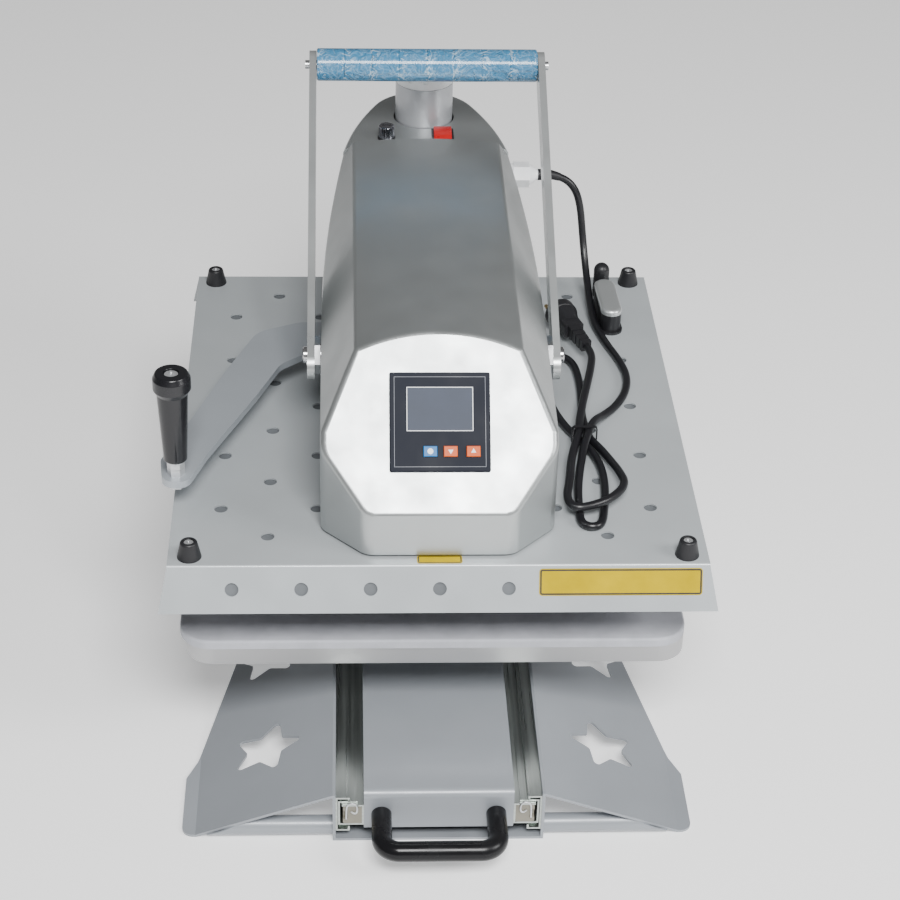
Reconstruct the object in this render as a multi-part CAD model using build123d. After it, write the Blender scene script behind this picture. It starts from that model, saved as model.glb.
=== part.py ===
from build123d import *
import math
import os

# A swing-away drawer heat press, modelled in millimetres.
# The origin is on the table top, under the middle of the platens.
# X runs to the operator's right, Y to the back and Z up.

os.makedirs("parts", exist_ok=True)

# Base sheet
base_half_length = 410.0
channel_half = 109.0
channel_height = 62.0
base_sheet = 3.0
foot_half = 265.0
foot_crease = 251.0
foot_length = 86.0
foot_front_setback = 8.0
wing_waist_half = 200.0
wing_waist_length = 120.0
wing_shoulder_half = 254.0
wing_corner_r = 12.0
star_tip_r = 41.0
star_inner_r = 20.0
star_round_r = 4.0
star_x = 180.0
star_rows = ((302.0, 71.0), (148.0, 91.0))
tube_r = 10.0
tube_setback = 13.0
tube_floor_gap = 1.0

# Column
column_y = 360.0
column_r = 28.0
column_top = 486.0
column_foot_width = 130.0
column_foot_length = 90.0
column_foot_thick = 10.0
column_socket_r = 38.0
column_socket_height = 40.0
bolt_m8_r = 4.0
bolt_m8_head_r = 6.5
bolt_m8_head = 5.3

# Drawer
tray_half = 77.0
tray_top = 65.0
tray_bottom = 18.0
tray_length = 600.0
tray_sheet = 2.5
tray_front_r = 8.0
slide_height = 45.0
slide_bottom = 12.0
slide_length = 560.0
slide_sheet = 2.0
slide_gap = 0.5
slide_lip = 4.0
drawer_travel = 380.0
pull_pitch = 118.0
pull_bar_r = 10.5
pull_reach = 55.0
pull_z = 36.0
pull_bend_r = 18.0

# Platens
platen_width = 525.0
platen_depth = 575.0
platen_corner_r = 30.0
lower_platen_thick = 22.0
lower_platen_bottom = 135.5
pad_thick = 10.0
pad_overhang = 3.0
pad_shift = -3.0
press_travel = 42.0
press_gap = 0.3
heater_thick = 22.0
wool_thick = 22.0
wool_margin = 5.0
wool_to_cover_edge = 17.5
pillar_inset_x = 17.5
pillar_inset_y = 17.5
pillar_to_cover_edge = 30.0
stand_width = 130.0
stand_length = 300.0
stand_plate = 6.0
stand_tube = 90.0
stand_wall = 4.0

# Cover over the heated platen
cover_width = 550.0
cover_depth = 600.0
cover_top = 272.0
cover_sheet = 2.0
cover_bend_r = 3.0
flange_length = 49.8
flange_angle = 65.9
flange_flare = 10.2
vent_r = 7.0
vent_pitch = 50.0
vent_rows = 11
vent_margin = 50.0
flange_vent_pitch = 70.0
flange_vent_down = 25.0
flange_vents = 7
bumper_inset_x = 22.0
bumper_inset_y = 16.0
bumper_base_r = 12.5
bumper_top_r = 8.5
bumper_height = 19.0

# Swing arm
sleeve_r = 34.5
sleeve_bottom = 292.0
sleeve_top = 508.0
bush_wall = 3.0
bush_length = 45.0
running = 0.05
beam_half = 35.0
beam_bottom = 312.0
beam_height = 60.0
beam_wall = 4.0
beam_front = 32.0
cheek_thick = 8.0
cheek_front = -112.0
cheek_back = 130.0
cheek_height = 92.0

# Press shaft, handle and cam
pivot_y = -50.0
pivot_z = 369.0
shaft_r = 12.0
shaft_bush_wall = 3.0
arm_offset = 132.0
arm_thick = 8.0
arm_width = 32.0
arm_tail = 12.0
handle_length = 386.5
handle_lean = 60.7
handle_sweep = 110.0
grip_r = 18.8
grip_rod_r = 5.0
grip_end_gap = 0.5
stub_r = 9.0
stub_reach = 5.0
grip_rod_reach = 5.0
shaft_nut_flats = 36.0
shaft_nut_thick = 6.0
cam_thick = 16.0
cam_low_r = 22.0
roller_r = 14.0
roller_width = 18.0
roller_pin_r = 5.0
touch_gap = 0.35
fork_thick = 8.0

# Press bridge and its guides
bridge_half = 80.0
bridge_half_depth = 62.0
bridge_top = 300.0
bridge_thick = 12.0
guide_x = 62.0
guide_spread = 46.0
guide_rod_r = 6.0
guide_plate_z = 330.0
guide_plate_thick = 12.0
guide_bush_wall = 3.0
guide_bush_flange = 2.0
spring_coil_r = 9.0
spring_wire_wide = 2.6
spring_wire_high = 3.4
spring_turns = 5
spring_length = 78.0
rod_washer_r = 12.0
rod_washer_thick = 3.0
bridge_leg_r = 10.0
bridge_leg_x = 45.0
bridge_leg_spread = 40.0

# Hood
hood_bottom = 275.0
hood_front = -287.0
hood_half = 121.0
hood_nose_half = 75.0
hood_cheek_y = -240.0
hood_corner_r = 20.0
hood_edge_r = 7.0
hood_wall = 3.0
skirt_top = 324.0
face_angle = 47.0
hood_top_rear = 270.0
dome_y = 290.0
dome_half = 94.0
dome_back = 436.0
dome_end_turn = 25.0
deck_z = 460.0
front_edge_x = 86.0
front_edge_z = 440.0
front_bevel_run = 33.0
front_bevel_drop = 62.0
front_crown_z = 457.0
rear_edge_x = 85.0
rear_edge_z = 468.0
rear_bevel_run = 22.0
rear_bevel_drop = 28.0
rear_crown_z = 473.0

# Controller on the sloping face
controller_size = 102.0
controller_up_face = 94.5
controller_bezel = 4.0
controller_case = 88.0
controller_depth = 58.0
window_width = 65.0
window_height = 43.0
window_up = 13.0
window_thick = 1.5
button_up = -30.5
button_width = 14.0
button_height = 11.0
button_x = (-10.0, 10.5, 33.5)
button_travel = 1.0
button_proud = 2.0
button_gap = 0.3

# Fittings on the deck and side
gland_y = 300.0
gland_z = 412.0
gland_nut_r = 13.0
gland_body_flats = 27.0
gland_reach = 43.0
fuse_x = -46.0
fuse_y = 298.0
fuse_r = 8.0
fuse_cap_r = 9.5
fuse_cap_height = 17.0
switch_x = 21.0
switch_y = 306.0
switch_width = 26.0
switch_length = 31.0
rocker_half_angle = 12.0
knob_low_r = 34.5
knob_top_r = 38.0
knob_height = 18.0
spindle_r = 6.0

# Swing lever
lever_thick = 8.0
lever_tip_x = -270.0
lever_tip_y = -193.0
lever_grip_low_r = 12.2
lever_grip_high_r = 16.0
lever_grip_head_r = 19.5
lever_grip_height = 104.0
lever_nut_stack = 18.0
lever_bolt_r = 5.0

# Terminal cover on the platen's cover plate
terminal_x = 218.5
terminal_to_back = 100.0
terminal_turn = 2.7
terminal_width = 28.0
terminal_length = 84.0
terminal_height = 31.0

# Cord
cord_r = 4.5
plug_r = 18.5
plug_relief = 38.0
plug_neck = 16.0
plug_flare = 16.0
plug_disc = 14.0
plug_pin = 19.0
plug_pin_pitch = 19.0
tie_wall = 1.2
tie_width = 3.5
tie_gap = 0.3


def block(x0, x1, y0, y1, z0, z1):
    """A block between six planes."""
    middle = Pos((x0 + x1) / 2, (y0 + y1) / 2, (z0 + z1) / 2)
    return middle * Box(x1 - x0, y1 - y0, z1 - z0)


def disc_x(y, z, r, x0, x1):
    """A cylinder along X."""
    return Pos((x0 + x1) / 2, y, z) * Rot(0, 90, 0) * Cylinder(r, x1 - x0)


def disc_y(x, z, r, y0, y1):
    """A cylinder along Y."""
    return Pos(x, (y0 + y1) / 2, z) * Rot(90, 0, 0) * Cylinder(r, y1 - y0)


def disc_z(x, y, r, z0, z1):
    """A cylinder along Z."""
    return Pos(x, y, (z0 + z1) / 2) * Cylinder(r, z1 - z0)


def prism_x(points, x0, x1):
    """A (Y, Z) outline given thickness along X."""
    plane = Plane(origin=((x0 + x1) / 2, 0, 0), x_dir=(0, 1, 0), z_dir=(1, 0, 0))
    return extrude(plane * Polygon(*points, align=None), amount=(x1 - x0) / 2, both=True)


def prism_y(points, y0, y1):
    """An (X, Z) outline given thickness along Y."""
    plane = Plane(origin=(0, (y0 + y1) / 2, 0), x_dir=(1, 0, 0), z_dir=(0, -1, 0))
    return extrude(plane * Polygon(*points, align=None), amount=(y1 - y0) / 2, both=True)


def prism_z(outline, z0, z1):
    """A flat XY outline given thickness along Z."""
    return extrude(Pos(0, 0, (z0 + z1) / 2) * outline, amount=(z1 - z0) / 2, both=True)


def hex_x(y, z, flats, x0, x1):
    """A hexagon nut along X."""
    corner_r = flats / math.sqrt(3)
    outline = Plane(origin=((x0 + x1) / 2, y, z), x_dir=(0, 1, 0), z_dir=(1, 0, 0))
    return extrude(outline * RegularPolygon(corner_r, 6), amount=(x1 - x0) / 2, both=True)


def hex_z(x, y, flats, z0, z1):
    """A hexagon nut along Z."""
    corner_r = flats / math.sqrt(3)
    return prism_z(Pos(x, y) * RegularPolygon(corner_r, 6), z0, z1)


def mirrored(shape):
    """The same shape on the other side of the middle plane."""
    return mirror(shape, about=Plane.YZ)


def save(node, shape):
    """Write one named piece, as one solid or as a set of separate ones."""
    solids = shape.solids()
    export_step(Compound(list(solids)) if len(solids) > 1 else solids[0], "parts/" + node + ".step")


def group(shapes):
    """Several separate solids kept as one piece."""
    solids = []
    for shape in shapes:
        solids.extend(shape.solids())
    return Compound(solids)


# Base sheet with its channel, sloping wings, feet and star cut-outs
wing_run = foot_crease - channel_half
wing_drop = channel_height - base_sheet
wing_angle = math.degrees(math.atan2(wing_drop, wing_run))
wing_skin = base_sheet / math.cos(math.radians(wing_angle))
foot_front = base_half_length - foot_front_setback
foot_back = foot_front - foot_length
column_bolts = [
    (side * (column_foot_width / 2 - 14), column_y + end * (column_foot_length / 2 - 12))
    for side in (-1, 1)
    for end in (-1, 1)
]


def base_profile():
    """The folded section across the base, as one closed outline."""
    top = [
        (channel_half - base_sheet, base_sheet),
        (channel_half - base_sheet, channel_height),
        (channel_half, channel_height),
        (foot_crease, base_sheet),
        (foot_half, base_sheet),
    ]
    low = [
        (foot_half, 0),
        (foot_crease - base_sheet * 0.2, 0),
        (channel_half, channel_height - wing_skin),
        (channel_half, 0),
    ]
    right = top + low
    return right + [(-x, z) for x, z in reversed(right)]


def wing_outline():
    """The plan outline of the whole base sheet."""
    side = [
        (channel_half, -base_half_length),
        (foot_half, -foot_front),
        (foot_half, -foot_back),
        (wing_shoulder_half, -foot_back + 26),
        (wing_waist_half, -wing_waist_length / 2),
    ]
    right = side + [(x, -y) for x, y in reversed(side)]
    left = [(-x, y) for x, y in reversed(right)]
    outline = Sketch() + Polygon(*(right + left), align=None)
    tips = [v for v in outline.vertices() if abs(v.X) > foot_half - 1 and abs(v.Y) > foot_front - 1]
    return fillet(tips, wing_corner_r)


def star(x, y, turn):
    """A five-pointed star with rounded points."""
    points = []
    for step in range(10):
        reach = star_tip_r if step % 2 == 0 else star_inner_r
        angle = math.radians(turn + 36 * step)
        points.append((x + reach * math.cos(angle), y + reach * math.sin(angle)))
    outline = Sketch() + Polygon(*points, align=None)
    return fillet(outline.vertices(), star_round_r)


def base_sheet_solid():
    """Channel, wings and feet folded from one sheet."""
    sheet = prism_y(base_profile(), -base_half_length, base_half_length)
    sheet = sheet & prism_z(wing_outline(), -1, channel_height + 1)
    cutters = []
    for y, turn in star_rows:
        near = prism_z(star(-star_x, -y, turn), -1, channel_height + 1)
        far = mirror(near, about=Plane.XZ)
        cutters += [near, far, mirrored(near), mirrored(far)]
    for x, y in column_bolts:
        cutters.append(disc_z(x, y, bolt_m8_r + 0.4, -1, base_sheet + 1))
    for cutter in cutters:
        sheet = sheet - cutter
    return sheet


def base_tubes_solid():
    """Round stiffening tubes under the wings, mitred to the sloping sheet."""
    tube_y = foot_front - tube_setback + foot_front_setback
    low = tube_floor_gap
    end = foot_crease - 12
    tube = disc_x(-tube_y, low + tube_r, tube_r, channel_half, end)
    tube = tube - disc_x(-tube_y, low + tube_r, tube_r - 2, channel_half - 1, end + 1)
    under = [
        (channel_half, -1),
        (channel_half, channel_height - wing_skin),
        (foot_crease - base_sheet * 0.2, 0),
        (foot_crease, -1),
    ]
    tube = tube & prism_y(under, -base_half_length, base_half_length)
    far = mirror(tube, about=Plane.XZ)
    return group([tube, mirrored(tube), far, mirrored(far)])


def column_foot_solid():
    """Bolted flange with the socket that holds the column."""
    low = base_sheet
    high = low + column_foot_thick
    half_x = column_foot_width / 2
    half_y = column_foot_length / 2
    plate = block(-half_x, half_x, column_y - half_y, column_y + half_y, low, high)
    plate = fillet(plate.edges().filter_by(Axis.Z), 8)
    foot = plate + disc_z(0, column_y, column_socket_r, high, high + column_socket_height)
    foot = foot - disc_z(0, column_y, column_r, low - 1, high + column_socket_height + 1)
    for x, y in column_bolts:
        foot = foot - disc_z(x, y, bolt_m8_r + 0.4, low - 1, high + 1)
    return foot


def m8_screw(x, y, seat, length):
    """A cap screw pointing down from its seat."""
    head = disc_z(x, y, bolt_m8_head_r, seat, seat + bolt_m8_head)
    socket = prism_z(Pos(x, y) * RegularPolygon(3.5, 6), seat + 2, seat + bolt_m8_head + 1)
    return head - socket + disc_z(x, y, bolt_m8_r, seat - length, seat)


save("base_sheet", base_sheet_solid())
save("base_tubes", base_tubes_solid())
save("column_foot", column_foot_solid())
save("column", chamfer(disc_z(0, column_y, column_r, base_sheet, column_top).edges(), 1.5))
screw_grip = column_foot_thick + base_sheet - 0.5
foot_screw_seat = base_sheet + column_foot_thick
save("column_screws", group([m8_screw(x, y, foot_screw_seat, screw_grip) for x, y in column_bolts]))


# Telescopic slides between the channel and the tray
slide_outer_x = channel_half - base_sheet
slide_room = slide_outer_x - tray_half
slide_top = slide_bottom + slide_height
slide_rear = -base_half_length + 2 + slide_length
slide_mid_low = slide_bottom + slide_sheet + slide_lip + slide_gap
slide_mid_high = slide_top - slide_sheet - slide_lip - slide_gap
slide_mid_back = slide_outer_x - slide_sheet - slide_gap
slide_inner_low = slide_mid_low + slide_sheet + slide_gap
slide_inner_high = slide_mid_high - slide_sheet - slide_gap


def channel_profile(back, lip_x, low, high, sheet, lip):
    """A C-section: web at back, flanges to lip_x and lips of the given depth."""
    step = math.copysign(sheet, lip_x - back)
    points = [(back, low), (back, high), (lip_x, high)]
    if lip:
        points += [(lip_x, high - sheet - lip), (lip_x - step, high - sheet - lip)]
        points += [(lip_x - step, high - sheet)]
    else:
        points += [(lip_x, high - sheet)]
    points += [(back + step, high - sheet), (back + step, low + sheet)]
    if lip:
        points += [(lip_x - step, low + sheet), (lip_x - step, low + sheet + lip)]
        points += [(lip_x, low + sheet + lip), (lip_x, low)]
    else:
        points += [(lip_x, low + sheet), (lip_x, low)]
    return points


def slide_outer_solid():
    """Outer member, riveted to the channel wall."""
    lip_x = slide_outer_x - slide_room * 0.5
    points = channel_profile(slide_outer_x, lip_x, slide_bottom, slide_top, slide_sheet, slide_lip)
    return prism_y(points, -base_half_length + 2, slide_rear)


def slide_middle_solid():
    """Middle member with the ball cages along its flanges."""
    lip_x = tray_half + slide_sheet + slide_gap + 4
    low = slide_mid_low
    high = slide_mid_high
    points = channel_profile(slide_mid_back, lip_x, low, high, slide_sheet, 0)
    front = -base_half_length + 4
    rail = prism_y(points, front, slide_rear - 2)
    cage_in = slide_outer_x - slide_room * 0.5 + slide_sheet + slide_gap
    cage_room = slide_lip - slide_gap
    for z0 in (low - cage_room, high):
        rail = rail + block(cage_in, slide_mid_back - 1, front + 6, slide_rear - 60, z0, z0 + cage_room)
    return rail


def slide_inner_solid():
    """Inner member, screwed to the tray."""
    flange_x = slide_mid_back - slide_sheet - 2
    low = slide_inner_low
    high = slide_inner_high
    points = channel_profile(tray_half, flange_x, low, high, slide_sheet, 0)
    return prism_y(points, -base_half_length + 1, slide_rear - 4)


def slide_stop_solid():
    """Moulded stop with its latch in the front end of the inner member."""
    room = 0.2
    x0 = tray_half + slide_sheet
    x1 = slide_mid_back - slide_sheet - 3
    low = slide_inner_low + slide_sheet + room
    high = slide_inner_high - slide_sheet - room
    front = -base_half_length + 1
    stop = block(x0, x1, front, front + 14, low, high)
    stop = fillet(stop.edges().filter_by(Axis.Y), 2)
    return stop - block(x1 - 5, x1 + 1, front - 1, front + 4, low + 6, high - 6)


def tray_solid():
    """Folded drawer tray, open underneath and behind."""
    front = -base_half_length
    back = front + tray_length
    skin = tray_sheet
    tray = block(-tray_half, tray_half, front, back, tray_bottom, tray_top)
    tray = fillet(tray.edges().filter_by(Axis.X).group_by(Axis.Z)[-1].sort_by(Axis.Y)[0], tray_front_r)
    inner = tray_half - skin
    hollow = block(-inner, inner, front + skin, back + 1, tray_bottom - 1, tray_top - skin)
    bend = hollow.edges().filter_by(Axis.X).group_by(Axis.Z)[-1].sort_by(Axis.Y)[0]
    tray = tray - fillet(bend, tray_front_r - skin)
    for side in (-1, 1):
        tray = tray - disc_y(side * pull_pitch / 2, pull_z, 2.7, front - 1, front + skin + 1)
    for x, y in stand_bolts:
        tray = tray - disc_z(x, y, bolt_m8_r + 0.4, tray_top - skin - 1, tray_top + 1)
    return tray


def pull_solid():
    """D-shaped drawer pull of round bar."""
    face = -base_half_length
    out = face - pull_reach
    half = pull_pitch / 2
    points = [(-half, face, pull_z), (-half, out, pull_z), (half, out, pull_z), (half, face, pull_z)]
    path = FilletPolyline(*points, radius=pull_bend_r)
    section = Plane(origin=points[0], z_dir=(0, -1, 0)) * Circle(pull_bar_r)
    bar = sweep(section, path=path)
    for side in (-1, 1):
        bar = bar - disc_y(side * half, pull_z, 2.1, face - 14, face + 1)
    return bar


def pull_screw_solids():
    """Screws that hold the pull from inside the tray."""
    face = -base_half_length
    inside = face + tray_sheet
    screws = []
    for side in (-1, 1):
        x = side * pull_pitch / 2
        screws.append(disc_y(x, pull_z, 4.5, inside, inside + 3) + disc_y(x, pull_z, 2.0, face - 12, inside))
    return screws


# Stand, lower platen and pad
stand_bolt_x = stand_width / 2 - 12
stand_bolt_y = stand_length / 2 - 14
stand_bolts = [(sx * stand_bolt_x, sy * stand_bolt_y) for sx in (-1, 1) for sy in (-1, 1)]
pad_bottom = lower_platen_bottom + lower_platen_thick
pad_top = pad_bottom + pad_thick


def stand_solid():
    """Welded stand between the tray and the lower platen."""
    half_x = stand_width / 2
    half_y = stand_length / 2
    low = tray_top
    high = lower_platen_bottom
    stand = block(-half_x, half_x, -half_y, half_y, low, low + stand_plate)
    stand = stand + block(-half_x, half_x, -half_y, half_y, high - stand_plate, high)
    tube_half = stand_tube / 2
    for y in (-stand_tube, stand_tube):
        near, far = y - tube_half / 2, y + tube_half / 2
        tube = block(-tube_half, tube_half, near, far, low + stand_plate, high - stand_plate)
        inner = tube_half - stand_wall
        hole = block(-inner, inner, near + stand_wall, far - stand_wall, low - 1, high + 1)
        stand = stand + tube - hole
    for x, y in stand_bolts:
        stand = stand - disc_z(x, y, bolt_m8_r + 0.4, low - 1, high + 1)
    return stand


def platen_outline(margin, corner_r):
    """Rounded rectangle, the platen's outline grown by a margin."""
    return RectangleRounded(platen_width + 2 * margin, platen_depth + 2 * margin, corner_r)


def lower_platen_solid():
    plate = prism_z(platen_outline(0, platen_corner_r), lower_platen_bottom, pad_bottom)
    return chamfer(plate.edges().group_by(Axis.Z)[-1], 1.5)


def pad_solid():
    outline = Pos(pad_shift, 0) * platen_outline(pad_overhang, platen_corner_r + pad_overhang)
    pad = prism_z(outline, pad_bottom, pad_top)
    return fillet(pad.edges().group_by(Axis.Z)[-1], 2.5)


stand_screw_seat = tray_top + stand_plate
stand_screw_length = stand_plate + tray_sheet + 6

save("slide_outers", group([slide_outer_solid(), mirrored(slide_outer_solid())]))
save("slide_middle_right", slide_middle_solid())
save("slide_middle_left", mirrored(slide_middle_solid()))
save("slide_inners", group([slide_inner_solid(), mirrored(slide_inner_solid())]))
save("slide_stops", group([slide_stop_solid(), mirrored(slide_stop_solid())]))
save("drawer_tray", tray_solid())
save("drawer_pull", pull_solid())
save("platen_stand", stand_solid())
stand_screws = [m8_screw(x, y, stand_screw_seat, stand_screw_length) for x, y in stand_bolts]
save("drawer_screws", group(stand_screws + pull_screw_solids()))
save("lower_platen", lower_platen_solid())
save("silicone_pad", pad_solid())


# Heated upper platen, insulation and perforated cover
heater_bottom = pad_top + press_travel + press_gap
heater_top = heater_bottom + heater_thick
wool_top = heater_top + wool_thick
cover_low = cover_top - cover_sheet
bridge_low = bridge_top - bridge_thick
pillar_x = min(platen_width / 2 - pillar_inset_x, cover_width / 2 - pillar_to_cover_edge)
pillar_y = min(platen_depth / 2 - pillar_inset_y, cover_depth / 2 - pillar_to_cover_edge)
bumper_x = cover_width / 2 - bumper_inset_x
bumper_y = cover_depth / 2 - bumper_inset_y
pillar_r = 4.0


def cover_profile():
    """Bent section of the cover from front flange to rear flange."""
    lean = math.radians(flange_angle)
    half = cover_depth / 2
    out = flange_length * math.cos(lean)
    drop = flange_length * math.sin(lean)
    mitre = cover_sheet * math.tan(lean / 2)
    inner_y = half + out - cover_sheet * math.sin(lean)
    inner_z = cover_top - drop - cover_sheet * math.cos(lean)
    right = [
        (half, cover_top),
        (half + out, cover_top - drop),
        (inner_y, inner_z),
        (half - mitre, cover_low),
    ]
    return right + [(-y, z) for y, z in reversed(right)]


def cover_front_outline():
    """Front view of the cover: the flanges flare out towards their lower edge."""
    drop = flange_length * math.sin(math.radians(flange_angle)) + cover_sheet
    top = cover_width / 2
    low = top + flange_flare
    return [(-top, cover_top + 1), (top, cover_top + 1), (top, cover_low), (low, cover_low - drop),
            (-low, cover_low - drop), (-top, cover_low)]


def vent_places():
    """Staggered rows of vents, four and six to a row by turns."""
    places = []
    for row in range(vent_rows):
        columns = (1, 3, 6, 8) if row % 2 == 0 else (0, 2, 4, 5, 7, 9)
        y = -cover_depth / 2 + vent_margin + row * vent_pitch
        places += [((column - 4.5) * vent_pitch, y) for column in columns]
    return places


def cover_solid():
    """Perforated cover sheet with a sloping flange in front and behind."""
    reach = cover_width / 2 + flange_flare + 1
    profile = prism_x(cover_profile(), -reach, reach)
    outer_bends = [e for e in profile.edges().filter_by(Axis.X) if e.center().Z > cover_top - 0.01]
    profile = fillet(outer_bends, cover_bend_r)
    inner_bends = [e for e in profile.edges().filter_by(Axis.X)
                   if abs(e.center().Z - cover_low) < 0.01 and abs(e.center().Y) < cover_depth / 2]
    profile = fillet(inner_bends, cover_bend_r - cover_sheet)
    deep = cover_depth / 2 + flange_length
    sheet = profile & prism_y(cover_front_outline(), -deep, deep)
    holes = [disc_z(x, y, vent_r, cover_low - 1, cover_top + 1) for x, y in vent_places()]
    lean = math.radians(flange_angle)
    vent_y = cover_depth / 2 + flange_vent_down * math.cos(lean)
    vent_z = cover_top - flange_vent_down * math.sin(lean)
    for number in range(flange_vents):
        x = (number - (flange_vents - 1) / 2) * flange_vent_pitch
        for end in (-1, 1):
            axis_turn = Rot(-end * flange_angle, 0, 0)
            holes.append(Pos(x, end * vent_y, vent_z) * axis_turn * Cylinder(vent_r, 12))
    for x in (-bumper_x, bumper_x):
        for y in (-bumper_y, bumper_y):
            holes.append(disc_z(x, y, 2.8, cover_low - 1, cover_top + 1))
    for x in (-bridge_leg_x, bridge_leg_x):
        for y in (-bridge_leg_spread, bridge_leg_spread):
            holes.append(disc_z(x, pivot_y + y, bridge_leg_r + 1.5, cover_low - 1, cover_top + 1))
    for hole in holes:
        sheet = sheet - hole
    return sheet


def heater_solid():
    plate = prism_z(platen_outline(0, platen_corner_r), heater_bottom, heater_top)
    return chamfer(plate.edges().group_by(Axis.Z)[0], 1.0)


def wool_solid():
    """Insulation that lies on the heated platen and stays inside the cover."""
    width = min(platen_width - 2 * wool_margin, cover_width - 2 * wool_to_cover_edge)
    depth = min(platen_depth - 2 * wool_margin, cover_depth - 2 * wool_to_cover_edge)
    outline = RectangleRounded(width, depth, platen_corner_r - wool_margin)
    wool = prism_z(outline, heater_top, wool_top)
    for x in (-pillar_x, pillar_x):
        for y in (-pillar_y, pillar_y):
            wool = wool - disc_z(x, y, pillar_r + 1, heater_top - 1, wool_top + 1)
    for x in (-bridge_leg_x, bridge_leg_x):
        for y in (-bridge_leg_spread, bridge_leg_spread):
            wool = wool - disc_z(x, pivot_y + y, bridge_leg_r + 1, heater_top - 1, wool_top + 1)
    return wool


def stud_solids():
    """Studs on the heated platen: four carry the cover and four thick ones the bridge."""
    studs = [disc_z(x, y, pillar_r, heater_top, cover_low)
             for x in (-pillar_x, pillar_x) for y in (-pillar_y, pillar_y)]
    legs = [disc_z(x, pivot_y + y, bridge_leg_r, heater_top, bridge_low)
            for x in (-bridge_leg_x, bridge_leg_x) for y in (-bridge_leg_spread, bridge_leg_spread)]
    return group(studs + legs)


def bumper_solid(x, y):
    """A rubber cone with a recessed screw."""
    cone = Cone(bumper_base_r, bumper_top_r, bumper_height)
    cone = fillet(cone.edges().group_by(Axis.Z)[-1], 2.8)
    bumper = Pos(x, y, cover_top + bumper_height / 2) * cone
    bumper = bumper - disc_z(x, y, 5.4, cover_top + bumper_height - 4, cover_top + bumper_height + 1)
    return bumper - disc_z(x, y, 2.7, cover_top - 1, cover_top + bumper_height)


def bumper_screw_solid(x, y):
    """Cross-head screw and nut of a bumper."""
    seat = cover_top + bumper_height - 4
    head = disc_z(x, y, 4.8, seat, seat + 2.6)
    cross = block(x - 3, x + 3, y - 0.5, y + 0.5, seat + 1, seat + 3)
    cross = cross + block(x - 0.5, x + 0.5, y - 3, y + 3, seat + 1, seat + 3)
    shank = disc_z(x, y, 2.5, cover_low - 6, seat)
    return head - cross + shank + hex_z(x, y, 8, cover_low - 4, cover_low)


bumper_places = [(sx * bumper_x, sy * bumper_y) for sx in (-1, 1) for sy in (-1, 1)]
save("heater_plate", heater_solid())
save("insulation", wool_solid())
save("cover_plate", cover_solid())
save("platen_studs", stud_solids())
save("bumpers", group([bumper_solid(x, y) for x, y in bumper_places]))


# Terminal box of the heater on the cover
terminal_y = cover_depth / 2 - terminal_to_back


def terminal_place():
    return Pos(terminal_x, terminal_y, cover_top) * Rot(0, 0, terminal_turn)


def terminal_base_solid():
    """Oblong box with a rim on the cover."""
    flange = extrude(SlotOverall(terminal_length + 4, terminal_width, rotation=90), 3)
    wall = extrude(SlotOverall(terminal_length - 3, terminal_width - 4, rotation=90), terminal_height - 7)
    return terminal_place() * (flange + wall)


def terminal_lid_solid():
    """Domed lid of the terminal box."""
    lid = extrude(SlotOverall(terminal_length - 2, terminal_width - 3, rotation=90), 7)
    lid = fillet(lid.edges().group_by(Axis.Z)[-1], 4.5)
    return terminal_place() * Pos(0, 0, terminal_height - 7) * lid


def terminal_boot_solid():
    """Rubber boot where the heater lead leaves the box."""
    boot = extrude(Circle(9.5), 34) + Pos(0, 0, 34) * Sphere(9.5)
    for z in (8, 16, 24):
        boot = boot - Pos(0, 0, z) * (Cylinder(11, 2) - Cylinder(8.6, 2))
    return terminal_place() * Pos(0, terminal_length / 2 + 13, 0) * boot


save("terminal_base", terminal_base_solid())
save("terminal_lid", terminal_lid_solid())
save("terminal_boot", terminal_boot_solid())


# Swing arm on its column
sleeve_bore_r = column_r + running + bush_wall
beam_top = beam_bottom + beam_height
plug_low = column_top + 3


def swing_arm_solid():
    """Sleeve, closed at its top round the pressure screw, and box beam, welded."""
    sleeve = disc_z(0, column_y, sleeve_r, sleeve_bottom, sleeve_top)
    beam = block(-beam_half, beam_half, beam_front, column_y, beam_bottom, beam_top)
    wall = beam_wall
    hollow = block(-beam_half + wall, beam_half - wall, beam_front - 1, column_y - sleeve_r - 4,
                   beam_bottom + wall, beam_top - wall)
    arm = sleeve + beam - hollow
    for x in (-1, 1):
        for y in lever_bolt_places:
            arm = arm - disc_z(x * lever_bolt_x, y, 4.2, beam_bottom - 1, beam_bottom + wall + 1)
    arm = arm - disc_z(0, column_y, sleeve_bore_r, sleeve_bottom - 1, plug_low)
    return arm - disc_z(0, column_y, spindle_r + running, plug_low - 1, sleeve_top + 1)


def cheek_profile():
    """Side view of a cheek, with a rounded nose."""
    top = beam_bottom + cheek_height
    low = [(cheek_front, beam_bottom), (cheek_back, beam_bottom), (cheek_back, beam_top)]
    outline = Sketch() + Polygon(*low, (30, top), (cheek_front, top), align=None)
    return fillet(outline.vertices(), 10)


def cheek_solid():
    """Right-hand cheek with its guide ear."""
    x0 = beam_half
    x1 = beam_half + cheek_thick
    plane = Plane(origin=((x0 + x1) / 2, 0, 0), x_dir=(0, 1, 0), z_dir=(1, 0, 0))
    cheek = extrude(plane * cheek_profile(), amount=cheek_thick / 2, both=True)
    ear_out = guide_x + 16
    z0 = guide_plate_z
    z1 = z0 + guide_plate_thick
    half = guide_spread + 16
    ear = block(x1, ear_out, pivot_y - half, pivot_y + half, z0, z1)
    ear = fillet(ear.edges().filter_by(Axis.Z).group_by(Axis.X)[-1], 8)
    cheek = cheek + ear
    for y in (-guide_spread, guide_spread):
        cheek = cheek - disc_z(guide_x, pivot_y + y, guide_bush_r, z0 - 1, z1 + 1)
    return cheek - disc_x(pivot_y, pivot_z, shaft_bush_r, x0 - 1, x1 + 1)


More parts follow.
